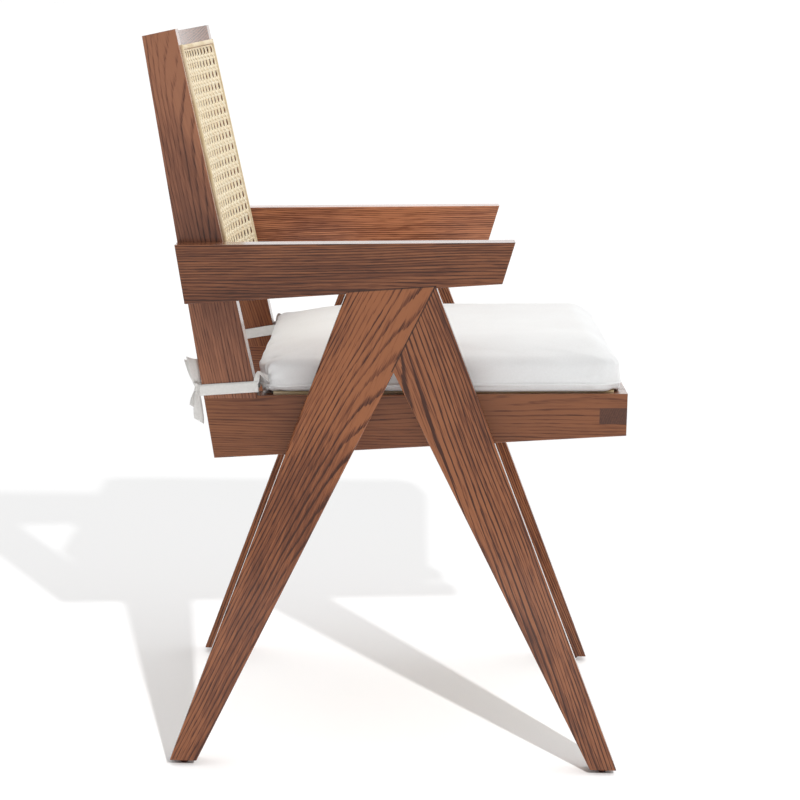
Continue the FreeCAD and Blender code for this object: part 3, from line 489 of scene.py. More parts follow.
# Depth of each cross rail's pith, then the side, the tilt and the stain that they share
CROSS_RAILS = {"front_seat_rail": 0.066, "rear_seat_rail": 0.08,
               "back_top_rail": 0.074, "back_bottom_rail": 0.09}
CROSS_PITH = (0.03, 1.0)
CROSS_TONE = (0.65, 0.0)
for board, (angle, rings, figure, (depth, aside, tilt), right_tone, left_tone) in SIDE_BOARDS.items():
    for side, sign, deeper, tone in (("right_", 1, 1.0, right_tone), ("left_", -1, LEFT_DEPTH, left_tone)):
        node = side + board
        pith = (depth * deeper, sign * aside, sign * tilt)
        dress(node, wood_finish("stain_" + node, lean(angle), (sign, 0, 0), middle_of(node), pith,
                                stained(*tone), rings, figure, BOARD_JOINTS.get(board, ())))
for rail, depth in CROSS_RAILS.items():
    dress(rail, wood_finish("stain_" + rail, (1, 0, 0), (0, -1, 0), middle_of(rail), (depth, *CROSS_PITH),
                            stained(*CROSS_TONE)))
print("stained boards:", 2 * len(SIDE_BOARDS) + len(CROSS_RAILS))

# %% [markdown]
# The back leans and the seat slopes, so most of the soft work is easier to draw flat and then tip into place.
# An empty with a parent could hold each slope. A matrix does the same without extra objects: its columns
# are the directions across, along and out of the plane, and its last column is the plane's origin.

# %% Sloping planes of the back and the seat
BACK_LEAN = math.radians(13.4)
SEAT_SLOPE = math.radians(1.63)
BACK_TOP = Vector((0, 0.2261, 0.792))
SEAT_BACK = Vector((0, 0.1914, 0.402))


def sloping_plane(origin, along, out):
    axes = Matrix((Vector((1, 0, 0)), Vector(along), Vector(out))).transposed()
    return Matrix.Translation(origin) @ axes.to_4x4()


def settle(piece, slot, *replaced):
    """Ride a finished piece on the chair and let it stand for its CAD solids."""
    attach(piece, "root")
    if replaced:
        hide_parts(*replaced)
    return piece


# On the back, along is up the posts and out is towards the sitter. On the seat, along is backwards and out
# is up.
back_plane = sloping_plane(BACK_TOP, (0, math.sin(BACK_LEAN), math.cos(BACK_LEAN)),
                           (0, -math.cos(BACK_LEAN), math.sin(BACK_LEAN)))
seat_plane = sloping_plane(SEAT_BACK, (0, math.cos(SEAT_SLOPE), -math.sin(SEAT_SLOPE)),
                           (0, math.sin(SEAT_SLOPE), math.cos(SEAT_SLOPE)))
print("top of the back's plane:", [round(part, 3) for part in back_plane.translation])

# %% [markdown]
# The cane is woven from split rattan skin in six sets of strands: two upright, two across and two diagonal.
# The diagonals clip the squares between the pairs into eight-sided holes. One diagonal passes over the
# uprights and under the cross strands, and the other does the opposite.
# It could be faked with a texture and holes cut by alpha, but at this low angle the thickness of the
# strands is what shows. So Geometry Nodes draws each strand as a line, lifts and lowers it with a sine wave
# of the weave's pitch, and sweeps a flat rectangle along it. At the panel's edges the strands dip into the
# groove that the reed closes.

# %% Skin of the rattan
CANE_SHADES = (paint((255, 243, 213)), paint((252, 232, 194)))
CANE_FIBRE = paint((226, 200, 156))
CANE_BLOTCHES = (28.0, 3.0)
CANE_FIBRES = (900.0, 1.0)
CANE_RELIEF = (0.2, 0.0002)
CANE_TONES = (0.15, 0.85)
# Where the fibres begin and are full, and their share of the colour there
FIBRE_SHARE = (0.45, 0.8, 0.0, 0.3)
CANE_ROUGHNESS = (0.38, 0.55)


def cane_finish():
    finish, tree, shader, place = new_finish("natural_cane")
    island = add_node(tree, "ShaderNodeNewGeometry").outputs["Random Per Island"]
    tone = weighted(tree, island, cloud(tree, place, *CANE_BLOTCHES), 0.5)
    fibre = cloud(tree, place, *CANE_FIBRES)
    straw = mix_colours(tree, between(tree, tone, *CANE_TONES), *CANE_SHADES)
    colour = mix_colours(tree, between(tree, fibre, *FIBRE_SHARE), straw, CANE_FIBRE)
    roughness = between(tree, fibre, *NOISE_ALL, *CANE_ROUGHNESS)
    finish_surface(tree, shader, colour, roughness, (fibre, *CANE_RELIEF))
    return finish


natural_cane = cane_finish()
print("finish:", natural_cane.name)

# %% Steps that the shape trees share
TURN = 2 * math.pi


def shape_tree(name, lengths, finish, others=None):
    """A Geometry Nodes tree with lengths and a finish as inputs, after any others."""
    inputs = (others or {}) | {label: ("Float", value) for label, value in lengths.items()}
    return new_tree(name, "GeometryNodeTree", inputs | {finish: ("Material", None)}, {"Geometry": "Geometry"})


def end_tree(tree, geometry, finish):
    """Close a tree with Realize Instances and Set Material."""
    real = add_node(tree, "GeometryNodeRealizeInstances", {"Geometry": geometry}).outputs[0]
    dressed = add_node(tree, "GeometryNodeSetMaterial", {"Geometry": real, "Material": finish}).outputs[0]
    add_node(tree, "NodeGroupOutput", {"Geometry": dressed})


def place_of_points(tree):
    return add_node(tree, "GeometryNodeInputPosition").outputs[0]


def parts_of_position(tree):
    return add_node(tree, "ShaderNodeSeparateXYZ", {0: place_of_points(tree)}).outputs


def join_parts(tree, x, y, z):
    return add_node(tree, "ShaderNodeCombineXYZ", {"X": x, "Y": y, "Z": z}).outputs[0]


def place_points(tree, geometry, position):
    return add_node(tree, "GeometryNodeSetPosition", {"Geometry": geometry, "Position": position}).outputs[0]


def raise_points(tree, geometry, height):
    offset = join_parts(tree, 0.0, 0.0, height)
    return add_node(tree, "GeometryNodeSetPosition", {"Geometry": geometry, "Offset": offset}).outputs[0]


def resampled(tree, line, length):
    """Cut a line into even steps."""
    inputs = {"Curve": line, "Length": length}
    return add_node(tree, "GeometryNodeResampleCurve", inputs, mode="LENGTH").outputs[0]


def swept(tree, line, section):
    """Sweep a closed section along a line without a twist."""
    line = add_node(tree, "GeometryNodeSetCurveNormal", {"Curve": line}, mode="Z_UP").outputs[0]
    inputs = {"Curve": line, "Profile Curve": section, "Fill Caps": True}
    return add_node(tree, "GeometryNodeCurveToMesh", inputs).outputs[0]


def wave(tree, operation, place, pitch):
    """A sine or cosine of a place, once round for each pitch."""
    share = calculate(tree, "DIVIDE", place, pitch)
    return calculate(tree, operation, calculate(tree, "MULTIPLY", share, TURN))


def bow_offset(tree, across, depth, half_length):
    """How far a curved panel falls back from its ends' plane: nothing beyond the half length."""
    share = calculate(tree, "DIVIDE", across, half_length)
    rest = calculate(tree, "SUBTRACT", 1.0, calculate(tree, "MULTIPLY", share, share))
    return calculate(tree, "MULTIPLY", calculate(tree, "MAXIMUM", rest, 0.0), depth)


# %% The weave as a node tree
BOW_HALF = 0.1935
CANE_LENGTHS = {"Width": 0.4, "Height": 0.27, "Pitch": 0.015, "Pair gap": 0.0022, "Strand width": 0.0027,
                "Strand thickness": 0.0006, "Strand rise": 0.0004, "Diagonal rise": 0.0006, "Lift": 0.00085,
                "Step": 0.0029, "Unevenness": 0.0003, "Bow depth": 0.0, "Bow half length": BOW_HALF,
                "Groove depth": 0.0013, "Groove start": 0.0055, "Groove end": 0.002}
UNEVEN_CLOUD = (60.0, 1.0)


def numbered_strands(tree, count):
    """Strands of two points. Each point's X is its strand's number, and its Y is 0 or 1, its end."""
    row = {"Count": count, "Offset": (1, 0, 0)}
    numbers = add_node(tree, "GeometryNodeMeshLine", row, mode="OFFSET").outputs[0]
    ends = {"Start": (0, 0, 0), "End": (0, 1, 0)}
    strand = add_node(tree, "GeometryNodeCurvePrimitiveLine", ends).outputs[0]
    copies = {"Points": numbers, "Instance": strand}
    copies = add_node(tree, "GeometryNodeInstanceOnPoints", copies).outputs[0]
    return add_node(tree, "GeometryNodeRealizeInstances", {"Geometry": copies}).outputs[0]


def straight_strands(tree, size, half_span, half_length, upright):
    """Pairs of strands, every pitch, each woven over and under those that cross it."""
    step = partial(calculate, tree)
    pitch = size["Pitch"]
    reach = step("FLOOR", step("DIVIDE", half_span, pitch))
    strands = numbered_strands(tree, step("MULTIPLY_ADD", reach, 4.0, 2.0))
    number = parts_of_position(tree)
    pair = step("FLOOR", step("MULTIPLY", number["X"], 0.5))
    side = step("MULTIPLY_ADD", step("MULTIPLY_ADD", pair, -2.0, number["X"]), 2.0, -1.0)
    place = step("MULTIPLY", step("SUBTRACT", pair, reach), pitch)
    place = step("MULTIPLY_ADD", side, size["Pair gap"], place)
    run = step("MULTIPLY", step("MULTIPLY_ADD", number["Y"], 2.0, -1.0), half_length)
    spot = join_parts(tree, place, run, 0.0) if upright else join_parts(tree, run, place, 0.0)
    strands = resampled(tree, place_points(tree, strands, spot), size["Step"])
    here = parts_of_position(tree)
    across, run = (here["X"], here["Y"]) if upright else (here["Y"], here["X"])
    nearest = step("MULTIPLY", step("ROUND", step("DIVIDE", across, pitch)), pitch)
    side = step("SIGN", step("SUBTRACT", across, nearest))
    rise = step("MULTIPLY", wave(tree, "SINE", run, pitch), size["Strand rise"])
    rise = step("MULTIPLY", step("MULTIPLY", rise, side), 1.0 if upright else -1.0)
    return raise_points(tree, strands, rise)


def slanting_strands(tree, size, half_width, half_height, direction):
    """Diagonals half a pitch off the pairs' crossings, cut at the panel's edges."""
    step = partial(calculate, tree)
    pitch = size["Pitch"]
    reach = step("FLOOR", step("DIVIDE", step("ADD", half_width, half_height), pitch))
    strands = numbered_strands(tree, step("MULTIPLY", reach, 2.0))
    number = parts_of_position(tree)
    line = step("MULTIPLY", step("SUBTRACT", step("ADD", number["X"], 0.5), reach), pitch)
    low = step("MAXIMUM", step("MULTIPLY", half_width, -1.0), step("SUBTRACT", line, half_height))
    high = step("MINIMUM", half_width, step("ADD", line, half_height))
    across = step("MULTIPLY_ADD", step("SUBTRACT", high, low), number["Y"], low)
    run = step("MULTIPLY", step("SUBTRACT", across, line), direction)
    spot = join_parts(tree, across, run, 0.0)
    strands = resampled(tree, place_points(tree, strands, spot), size["Step"])
    here = parts_of_position(tree)
    rise = step("MULTIPLY", wave(tree, "COSINE", here["X"], pitch), size["Diagonal rise"])
    return raise_points(tree, strands, step("MULTIPLY", rise, direction))


def groove_dip(tree, size, here, half_width, half_height):
    """How far a strand has dipped towards the groove at the panel's nearest edge."""
    step = partial(calculate, tree)
    to_side = step("SUBTRACT", half_width, step("ABSOLUTE", here["X"]))
    to_end = step("SUBTRACT", half_height, step("ABSOLUTE", here["Y"]))
    inside = step("MINIMUM", to_side, to_end)
    return between(tree, inside, size["Groove end"], size["Groove start"], size["Groove depth"], 0.0)


def cane_tree():
    tree, size = shape_tree("cane_weave", CANE_LENGTHS, "Cane")
    width, height = (calculate(tree, "MULTIPLY", size[name], 0.5) for name in ("Width", "Height"))
    join = add_node(tree, "GeometryNodeJoinGeometry")
    for strands in (straight_strands(tree, size, width, height, True),
                    straight_strands(tree, size, height, width, False),
                    slanting_strands(tree, size, width, height, 1.0),
                    slanting_strands(tree, size, width, height, -1.0)):
        tree.links.new(strands, join.inputs[0])
    spot = place_of_points(tree)
    uneven = join_parts(tree, size["Unevenness"], size["Unevenness"], 0.0)
    drifted = swayed(tree, spot, cloud(tree, spot, *UNEVEN_CLOUD, "Color"), uneven)
    section = {"Width": size["Strand width"], "Height": size["Strand thickness"]}
    section = add_node(tree, "GeometryNodeCurvePrimitiveQuadrilateral", section).outputs[0]
    woven = swept(tree, place_points(tree, join.outputs[0], drifted), section)
    here = parts_of_position(tree)
    fall = bow_offset(tree, here["X"], size["Bow depth"], size["Bow half length"])
    fall = calculate(tree, "ADD", fall, groove_dip(tree, size, here, width, height))
    woven = raise_points(tree, woven, calculate(tree, "SUBTRACT", size["Lift"], fall))
    end_tree(tree, woven, size["Cane"])
    return tree


weave = cane_tree()
print("weave nodes:", len(weave.nodes))

# %% [markdown]
# A tree becomes a plain mesh in one go: the modifier's inputs are set by their identifiers, the object is
# evaluated once, and the result is copied out. After that the modifier is gone, so the piece exports like any
# other mesh.

# %% Grow the two panels of cane
BOW_DEPTH = 0.022
BACK_CANE_HALF = 0.2045
BACK_CANE_TOP = -0.0235
BACK_CANE_FOOT = -0.2908
BACK_REED_STAND = 0.003
SEAT_CANE_HALF = 0.2105
SEAT_CANE_BACK = -0.0807
SEAT_CANE_FRONT = -0.4366
SEAT_REED_STAND = 0.0025
TUCK = 0.002
# Each panel's plane, half width, two ends and bow, and how far its reeds stand out
PANELS = {
    "back": (back_plane, BACK_CANE_HALF, BACK_CANE_TOP, BACK_CANE_FOOT, BOW_DEPTH, BACK_REED_STAND),
    "seat": (seat_plane, SEAT_CANE_HALF, SEAT_CANE_BACK, SEAT_CANE_FRONT, 0.0, SEAT_REED_STAND),
}


def plain_copy(holder):
    """The evaluated mesh of an object, as a mesh of its own. The object goes."""
    mesh = bpy.data.meshes.new_from_object(holder.evaluated_get(bpy.context.evaluated_depsgraph_get()))
    bpy.data.objects.remove(holder)
    return mesh


def grow(name, tree, values, place, source=None):
    """Run a tree with named input values, and put its mesh into place."""
    holder = new_piece(name + "_holder", source or bpy.data.meshes.new(name + "_holder"))
    modifier = holder.modifiers.new("grow", "NODES")
    modifier.node_group = tree
    for socket in tree.interface.items_tree:
        if socket.in_out == "INPUT" and socket.name in values:
            modifier[socket.identifier] = values[socket.name]
    mesh = plain_copy(holder)
    mesh.transform(place)
    mesh.name = name
    return new_piece(name, mesh)


for panel, (plane, half_width, high, low, bow_depth, _) in PANELS.items():
    values = {"Width": 2 * (half_width + TUCK), "Height": high - low + 2 * TUCK, "Bow depth": bow_depth,
              "Cane": natural_cane}
    middle = Matrix.Translation((0, (high + low) / 2, 0))
    woven = settle(grow(panel + "_cane_weave", weave, values, plane @ middle), "cane", panel + "_cane")
    print(woven.name, "triangles:", sum(len(face.vertices) - 2 for face in woven.data.polygons))

# %% [markdown]
# A reed spline is a round-topped strip, driven with glue into the groove on top of the cane's edge. It
# follows the edge, so a second small tree sweeps a rounded section along a line, with the same bow as the
# cane.
# Shade is painted under each reed as a darker brown. The finish finds that side by its normal, which points
# down.

# %% Reed splines
REED_WIDTH = 0.006
REED_ROOT = 0.002
REED_STEPS = 60
REED_SIDES = 16
REED_SHADES = (paint((238, 220, 186)), paint((220, 196, 150)))
REED_STREAK = paint((206, 174, 122))
# The brown of the shade painted under each reed
REED_PAINTED_SHADE = paint((146, 96, 58))
REED_BLOTCHES = (30.0, 2.0)
REED_STREAKS = (240.0, 2.0)
REED_RELIEF = (0.15, 0.0002)
STREAK_SHARE = (0.5, 0.8, 0.0, 0.35)
REED_ROUGHNESS = (0.4, 0.58)
# The upward part of the normal where the painted shade is full and where it ends, and its share
PAINTED_SHADE_FACING = (-0.65, -0.3)
PAINTED_SHADE_SHARE = 0.85


def reed_finish():
    finish, tree, shader, place = new_finish("split_reed")
    streak = cloud(tree, place, *REED_STREAKS)
    straw = mix_colours(tree, between(tree, cloud(tree, place, *REED_BLOTCHES), *NOISE_MOST), *REED_SHADES)
    colour = mix_colours(tree, between(tree, streak, *STREAK_SHARE), straw, REED_STREAK)
    normal = add_node(tree, "ShaderNodeNewGeometry").outputs["Normal"]
    upward = add_node(tree, "ShaderNodeSeparateXYZ", {0: normal}).outputs["Z"]
    # Painted shade: a darker brown on the side whose normal points down
    colour = mix_colours(tree, between(tree, upward, *PAINTED_SHADE_FACING, PAINTED_SHADE_SHARE, 0.0), colour, REED_PAINTED_SHADE)
    roughness = between(tree, streak, *NOISE_ALL, *REED_ROUGHNESS)
    finish_surface(tree, shader, colour, roughness, (streak, *REED_RELIEF))
    return finish


def reed_tree():
    lengths = {"Length": 0.4, "Reed width": REED_WIDTH, "Reed stand": BACK_REED_STAND, "Reed root": REED_ROOT,
               "Bow depth": 0.0, "Bow half length": BOW_HALF}
    tree, size = shape_tree("reed_spline", lengths, "Reed")
    step = partial(calculate, tree)
    half = step("MULTIPLY", size["Length"], 0.5)
    ends = {"Start": join_parts(tree, step("MULTIPLY", half, -1.0), 0.0, 0.0),
            "End": join_parts(tree, half, 0.0, 0.0)}
    line = {"Curve": add_node(tree, "GeometryNodeCurvePrimitiveLine", ends).outputs[0], "Count": REED_STEPS}
    line = add_node(tree, "GeometryNodeResampleCurve", line, mode="COUNT").outputs[0]
    ring = {"Resolution": REED_SIDES, "Radius": 0.5}
    ring = add_node(tree, "GeometryNodeCurvePrimitiveCircle", ring, mode="RADIUS").outputs[0]
    tall = step("ADD", size["Reed stand"], size["Reed root"])
    scale = join_parts(tree, size["Reed width"], tall, 1.0)
    section = add_node(tree, "GeometryNodeTransform", {"Geometry": ring, "Scale": scale}).outputs[0]
    strip = swept(tree, line, section)
    lift = step("MULTIPLY", step("SUBTRACT", size["Reed stand"], size["Reed root"]), 0.5)
    fall = bow_offset(tree, parts_of_position(tree)["X"], size["Bow depth"], size["Bow half length"])
    strip = raise_points(tree, strip, step("SUBTRACT", lift, fall))
    smooth = add_node(tree, "GeometryNodeSetShadeSmooth", {"Geometry": strip}).outputs[0]
    end_tree(tree, smooth, size["Reed"])
    return tree


split_reed = reed_finish()
reed = reed_tree()
half_reed = REED_WIDTH / 2
quarter_turn = Matrix.Rotation(math.radians(90), 4, "Z")


def cross_reed(node, panel, at_high_end):
    """A reed across a panel, just beyond one of its ends, with the panel's bow."""
    plane, half_width, high, low, bow_depth, stand = PANELS[panel]
    values = {"Length": 2 * half_width, "Reed stand": stand, "Bow depth": bow_depth, "Reed": split_reed}
    middle = Matrix.Translation((0, high + half_reed if at_high_end else low - half_reed, 0))
    settle(grow(node + "_reed", reed, values, plane @ middle), "reed", node)


def side_reed(node, panel, sign):
    """A straight reed along one side of a panel."""
    plane, half_width, high, low, _, stand = PANELS[panel]
    values = {"Length": high - low + 2 * REED_WIDTH, "Reed stand": stand, "Bow depth": 0.0,
              "Reed": split_reed}
    middle = Matrix.Translation((sign * (half_width + half_reed), (high + low) / 2, 0))
    settle(grow(node + "_reed", reed, values, plane @ middle @ quarter_turn), "reed", node)


for node, panel, at_high_end in (("back_top_spline", "back", True), ("back_bottom_spline", "back", False),
                                 ("rear_seat_spline", "seat", True), ("front_seat_spline", "seat", False)):
    cross_reed(node, panel, at_high_end)
for side, sign in (("left", 1), ("right", -1)):
    for panel in PANELS:
        side_reed(f"{side}_{panel}_spline", panel, sign)

# %% [markdown]
# The cover is plain white cotton, closely woven. Its colour hardly changes, so the weave has to show in the
# shading: crossing sets of threads, made with sine waves on object coordinates, which need no unwrapped map.

# %% White cotton
THREAD = 0.0007
SLUB_CLOUD = (420.0, 3.0)
FADE_CLOUD = (14.0, 2.0)
THREAD_SHARE = 0.6
CLOTH_RELIEF = (0.25, 0.0003)
CLOTH_ROUGHNESS = (0.8, 0.95)
CLOTH_LOOK = {"Specular IOR Level": 0.2, "Sheen Weight": 0.15}


def cotton_finish(name, light, shade):
    finish, tree, shader, place = new_finish(name)
    parts = add_node(tree, "ShaderNodeSeparateXYZ", {0: place}).outputs
    threads = [calculate(tree, "ABSOLUTE", wave(tree, "SINE", parts[axis], 2 * THREAD)) for axis in "XYZ"]
    threads = reduce(partial(calculate, tree, "MULTIPLY"), threads)
    slub = cloud(tree, place, *SLUB_CLOUD)
    tone = weighted(tree, slub, cloud(tree, place, *FADE_CLOUD), 0.5)
    colour = mix_colours(tree, between(tree, tone, *NOISE_MOST), paint(light), paint(shade))
    relief = (weighted(tree, threads, slub, THREAD_SHARE), *CLOTH_RELIEF)
    roughness = between(tree, slub, *NOISE_ALL, *CLOTH_ROUGHNESS)
    finish_surface(tree, shader, colour, roughness, relief, CLOTH_LOOK)
    return finish


white_cotton = cotton_finish("white_cotton", (242, 243, 243), (237, 237, 237))
print("finish:", white_cotton.name)

# %% [markdown]
# The cushion is a sewn box of cloth with a filling that presses outwards. A box a little smaller than the
# cushion is remeshed into small even faces, and its top is domed as the filling is: steep at the seam and
# flat further in.
# Pressure alone could raise the dome, but it would also swell the sides and wrinkle the corners. So cloth
# simulation only stretches the cover: the underside is pinned to the seat, and pressure blows up the rest for
# twenty frames. How far a point may move is capped, so that the cushion stays between the legs.

# %% Sew and fill the cushion
CUSHION_HALF = 0.2235
CUSHION_BACK = -0.0597
CUSHION_FRONT = -0.4515
CUSHION_CENTRE = (CUSHION_BACK + CUSHION_FRONT) / 2
CUSHION_FLOOR = 0.0028
CUSHION_SIDE = 0.0315
CUSHION_HALFWAY = CUSHION_FLOOR + CUSHION_SIDE / 2
CUSHION_TOP = CUSHION_FLOOR + CUSHION_SIDE
CUSHION_CORNER = 0.025
CORNER_STEPS = 8
TOP_ROUND = 0.003
CUSHION_EDGE = 0.0025
EDGE_STEPS = 4
HELD_BELOW = CUSHION_FLOOR + CUSHION_EDGE / 2
PLUMB = 0.01
LEVEL = 0.99
CLOTH_GRID = 0.004
CLOTH_FRAMES = 20
CLOTH_SETTINGS = {"use_pressure": True, "uniform_pressure_force": 4.0, "tension_stiffness": 12.0,
                  "compression_stiffness": 12.0, "bending_stiffness": 0.3, "shrink_min": -0.015}
MOST_SWELL = 0.003
MOST_RISE = 0.002
CROWN_RISE = 0.0185
SIDE_REACH = 0.09
FRONT_REACH = 0.036
BACK_REACH = 0.1


def bevel(form, edges, offset, steps):
    bmesh.ops.bevel(form, geom=edges, offset=offset, segments=steps, profile=0.5, affect="EDGES")


def is_rim(edge):
    """Whether an edge lies between a flat face and an upright one."""
    tilts = sorted(abs(face.normal.z) for face in edge.link_faces)
    return tilts[0] < PLUMB and tilts[-1] > LEVEL


def cushion_box():
    """A box with rounded corners and edges on the seat's plane, rounder at its top than below."""
    form = bmesh.new()
    bmesh.ops.create_cube(form, size=1.0)
    size = Vector((2 * CUSHION_HALF, CUSHION_BACK - CUSHION_FRONT, CUSHION_SIDE))
    middle = Vector((0, CUSHION_CENTRE, CUSHION_HALFWAY))
    for corner in form.verts:
        corner.co = corner.co * size + middle
    uprights = [edge for edge in form.edges if abs(edge.verts[0].co.z - edge.verts[1].co.z) > CUSHION_EDGE]
    bevel(form, uprights, CUSHION_CORNER, CORNER_STEPS)
    for high, offset in ((True, TOP_ROUND), (False, CUSHION_EDGE)):
        form.normal_update()
        rims = [edge for edge in form.edges if is_rim(edge) and (edge.verts[0].co.z > middle.z) == high]
        bevel(form, rims, offset, EDGE_STEPS)
    mesh = bpy.data.meshes.new("cushion_box")
    form.to_mesh(mesh)
    form.free()
    return mesh


def modified(mesh, kind, **settings):
    """A mesh after one modifier."""
    holder = new_piece("modifier_holder", mesh)
    modifier = holder.modifiers.new("change", kind)
    for name, value in settings.items():
        setattr(modifier, name, value)
    return plain_copy(holder)


def filled(mesh):
    """Blow up a cover with pressure while its underside is held down."""
    holder = new_piece("fill_holder", mesh)
    held = holder.vertex_groups.new(name="held")
    held.add([spot.index for spot in mesh.vertices if spot.co.z < HELD_BELOW], 1.0, "REPLACE")
    cloth = holder.modifiers.new("cover", "CLOTH")
    cloth.settings.vertex_group_mass = "held"
    cloth.settings.effector_weights.gravity = 0.0
    for name, value in CLOTH_SETTINGS.items():
        setattr(cloth.settings, name, value)
    cloth.point_cache.frame_end = CLOTH_FRAMES
    for number in range(1, CLOTH_FRAMES + 1):
        scene.frame_set(number)
    result = plain_copy(holder)
    scene.frame_set(1)
    return result


def share_between(value, low, high):
    return min(max((value - low) / (high - low), 0), 1)


def crown(place):
    """Domed filling: how far the top stands above its edges, steep at the seam and flat further in."""
    rise = CROWN_RISE
    for inside, reach in ((CUSHION_HALF - abs(place.x), SIDE_REACH), (CUSHION_BACK - place.y, BACK_REACH),
                          (place.y - CUSHION_FRONT, FRONT_REACH)):
        share = share_between(inside, 0, reach)
        rise *= share * (3 - share ** 2) / 2
    return rise


def capped(distance, most):
    return most * math.tanh(distance / most)


def fill_cushion():
    start = modified(cushion_box(), "REMESH", mode="VOXEL", voxel_size=CLOTH_GRID)
    for spot in start.vertices:
        spot.co.z += crown(spot.co) * share_between(spot.co.z, CUSHION_HALFWAY, CUSHION_TOP)
    places = [spot.co.copy() for spot in start.vertices]
    blown = filled(start)
    for spot, place in zip(blown.vertices, places):
        move = spot.co - place
        swell = (capped(move.x, MOST_SWELL), capped(move.y, MOST_SWELL), capped(move.z, MOST_RISE))
        spot.co = place + Vector(swell)
    return blown


cushion_mesh = fill_cushion()
print("cushion top above the seat in mm:", round(max(spot.co.z for spot in cushion_mesh.vertices) * 1000, 1))

# %% [markdown]
# At the two rear corners the ties are sewn into the seam and pull the cover into small folds. They are too
# fine for the simulation's grid, so they are pressed in afterwards: ripples that fan out from the tie and
# die away.

# %% Gather the corners and add the welt
GATHER_REACH = 0.026
GATHER_DEPTH = 0.0013
GATHER_FOLDS = 9
PULL_DEPTH = 0.0025
PULL_SHARPNESS = 5
TIE_SPOT = Vector((CUSHION_HALF - 0.006, CUSHION_BACK - 0.006, CUSHION_FLOOR + 0.012))
UNEVEN_DEPTH = 0.0004
UNEVEN_SCALE = 22.0
REAR_LEAN = 0.004
LEAN_FADE = 3
REAR_LIFT = 0.003
FRONT_DROOP = 0.0023
DROOP_SHARE = 0.55
RIM_START = SEAT_CANE_HALF + REED_WIDTH
RIM_FRONT = SEAT_CANE_FRONT - REED_WIDTH
RIM_RUN = 0.005
SEAM_POINTS = 160
WELT_HEIGHT = CUSHION_FLOOR + 0.0065
WELT_LENGTHS = {"Radius": 0.0017, "Step": 0.003}
WELT_SIDES = 10


def gather_corners(mesh):
    """Press fanned folds and a small hollow into the rear corners."""
    moves = []
    for spot in mesh.vertices:
        side = 1 if spot.co.x > 0 else -1
        away = spot.co - Vector((side * TIE_SPOT.x, TIE_SPOT.y, TIE_SPOT.z))
        share = away.length / GATHER_REACH
        fan = math.atan2(away.z, away.y - side * away.x)
        depth = math.exp(-share) * GATHER_DEPTH * math.cos(fan * GATHER_FOLDS)
        depth -= PULL_DEPTH * math.exp(-share ** 2 * PULL_SHARPNESS)
        if spot.co.z > HELD_BELOW:
            depth += UNEVEN_DEPTH * noise.noise(spot.co * UNEVEN_SCALE)
        moves.append(spot.normal * depth)
    for spot, move in zip(mesh.vertices, moves):
        spot.co += move


def settle_rim(mesh):
    """Lean the rear face out at its top, and let the rim past the reeds hang lower in front."""
    for spot in mesh.vertices:
        forward = share_between(spot.co.y, CUSHION_BACK, CUSHION_FRONT)
        low = 1 - share_between(spot.co.z, CUSHION_FLOOR, CUSHION_TOP)
        past_reed = share_between(max(abs(spot.co.x) - RIM_START, RIM_FRONT - spot.co.y), 0, RIM_RUN)
        spot.co.y += REAR_LEAN * (1 - low) * max(1 - LEAN_FADE * forward, 0)
        hang = min(forward / DROOP_SHARE, 1)
        spot.co.z += (REAR_LIFT * (1 - hang) - FRONT_DROOP * hang) * past_reed * low


def seam_line(mesh):
    """A closed line of edges round the cushion's side at the welt's height, found with rays from outside."""
    places = [spot.co for spot in mesh.vertices]
    cover = bvhtree.BVHTree.FromPolygons(places, [tuple(face.vertices) for face in mesh.polygons])
    middle = Vector((0, CUSHION_CENTRE, WELT_HEIGHT))
    points = []
    for number in range(SEAM_POINTS):
        angle = TURN * number / SEAM_POINTS
        out = Vector((math.cos(angle), math.sin(angle), 0))
        points.append(cover.ray_cast(middle + out, -out)[0])
    line = bpy.data.meshes.new("seam_line")
    line.from_pydata(points, [(number, (number + 1) % SEAM_POINTS) for number in range(SEAM_POINTS)], [])
    return line


def welt_tree():
    """A cord in the seam: a closed line of edges, cut into even steps and swept with a round section."""
    tree, size = shape_tree("welt", WELT_LENGTHS, "Cloth", {"Seam": ("Geometry", None)})
    line = add_node(tree, "GeometryNodeMeshToCurve", {"Mesh": size["Seam"]}).outputs[0]
    ring = {"Resolution": WELT_SIDES, "Radius": size["Radius"]}
    ring = add_node(tree, "GeometryNodeCurvePrimitiveCircle", ring, mode="RADIUS").outputs[0]
    cord = {"Curve": resampled(tree, line, size["Step"]), "Profile Curve": ring}
    cord = add_node(tree, "GeometryNodeCurveToMesh", cord).outputs[0]
    smooth = add_node(tree, "GeometryNodeSetShadeSmooth", {"Geometry": cord}).outputs[0]
    end_tree(tree, smooth, size["Cloth"])
    return tree


cushion_mesh = modified(cushion_mesh, "SUBSURF", levels=1, render_levels=1)
gather_corners(cushion_mesh)
settle_rim(cushion_mesh)
seam_mesh = seam_line(cushion_mesh)
cushion_mesh.transform(seat_plane)
cushion_mesh.shade_smooth()
cushion = settle(new_piece("cotton_cushion", cushion_mesh, white_cotton), "white_cloth", "seat_cushion")
shadow_parts.objects.link(cushion)
welt = grow("cushion_welt", welt_tree(), {"Cloth": white_cotton}, seat_plane, seam_mesh)
settle(welt, "white_cloth")
print("cushion faces:", len(cushion_mesh.polygons), "and welt faces:", len(welt.data.polygons))

# %% [markdown]
# Each rear corner is tied to its post with a flat cotton ribbon: once round the post's foot, and a bow
# behind it.
# A ribbon is a strip of one width that bends along its length, so a short helper sweeps a row of points
# along a smooth line. The strips are thin sheets with a Solidify modifier, which is how a ribbon differs
# from a rod.

# %% Ribbon strips
RIBBON_WIDTH = 0.012
RIBBON_THICKNESS = 0.0007
RIBBON_COLUMNS = 5
RIBBON_STEPS = 8
white_ribbon = cotton_finish("white_ribbon", (231, 229, 226), (221, 219, 215))


def neighbour(items, number, closed):
    """An item by its number: round again on a closed line, and the end item beyond an open one."""
    if closed:
        return items[number % len(items)]
    return items[min(max(number, 0), len(items) - 1)]


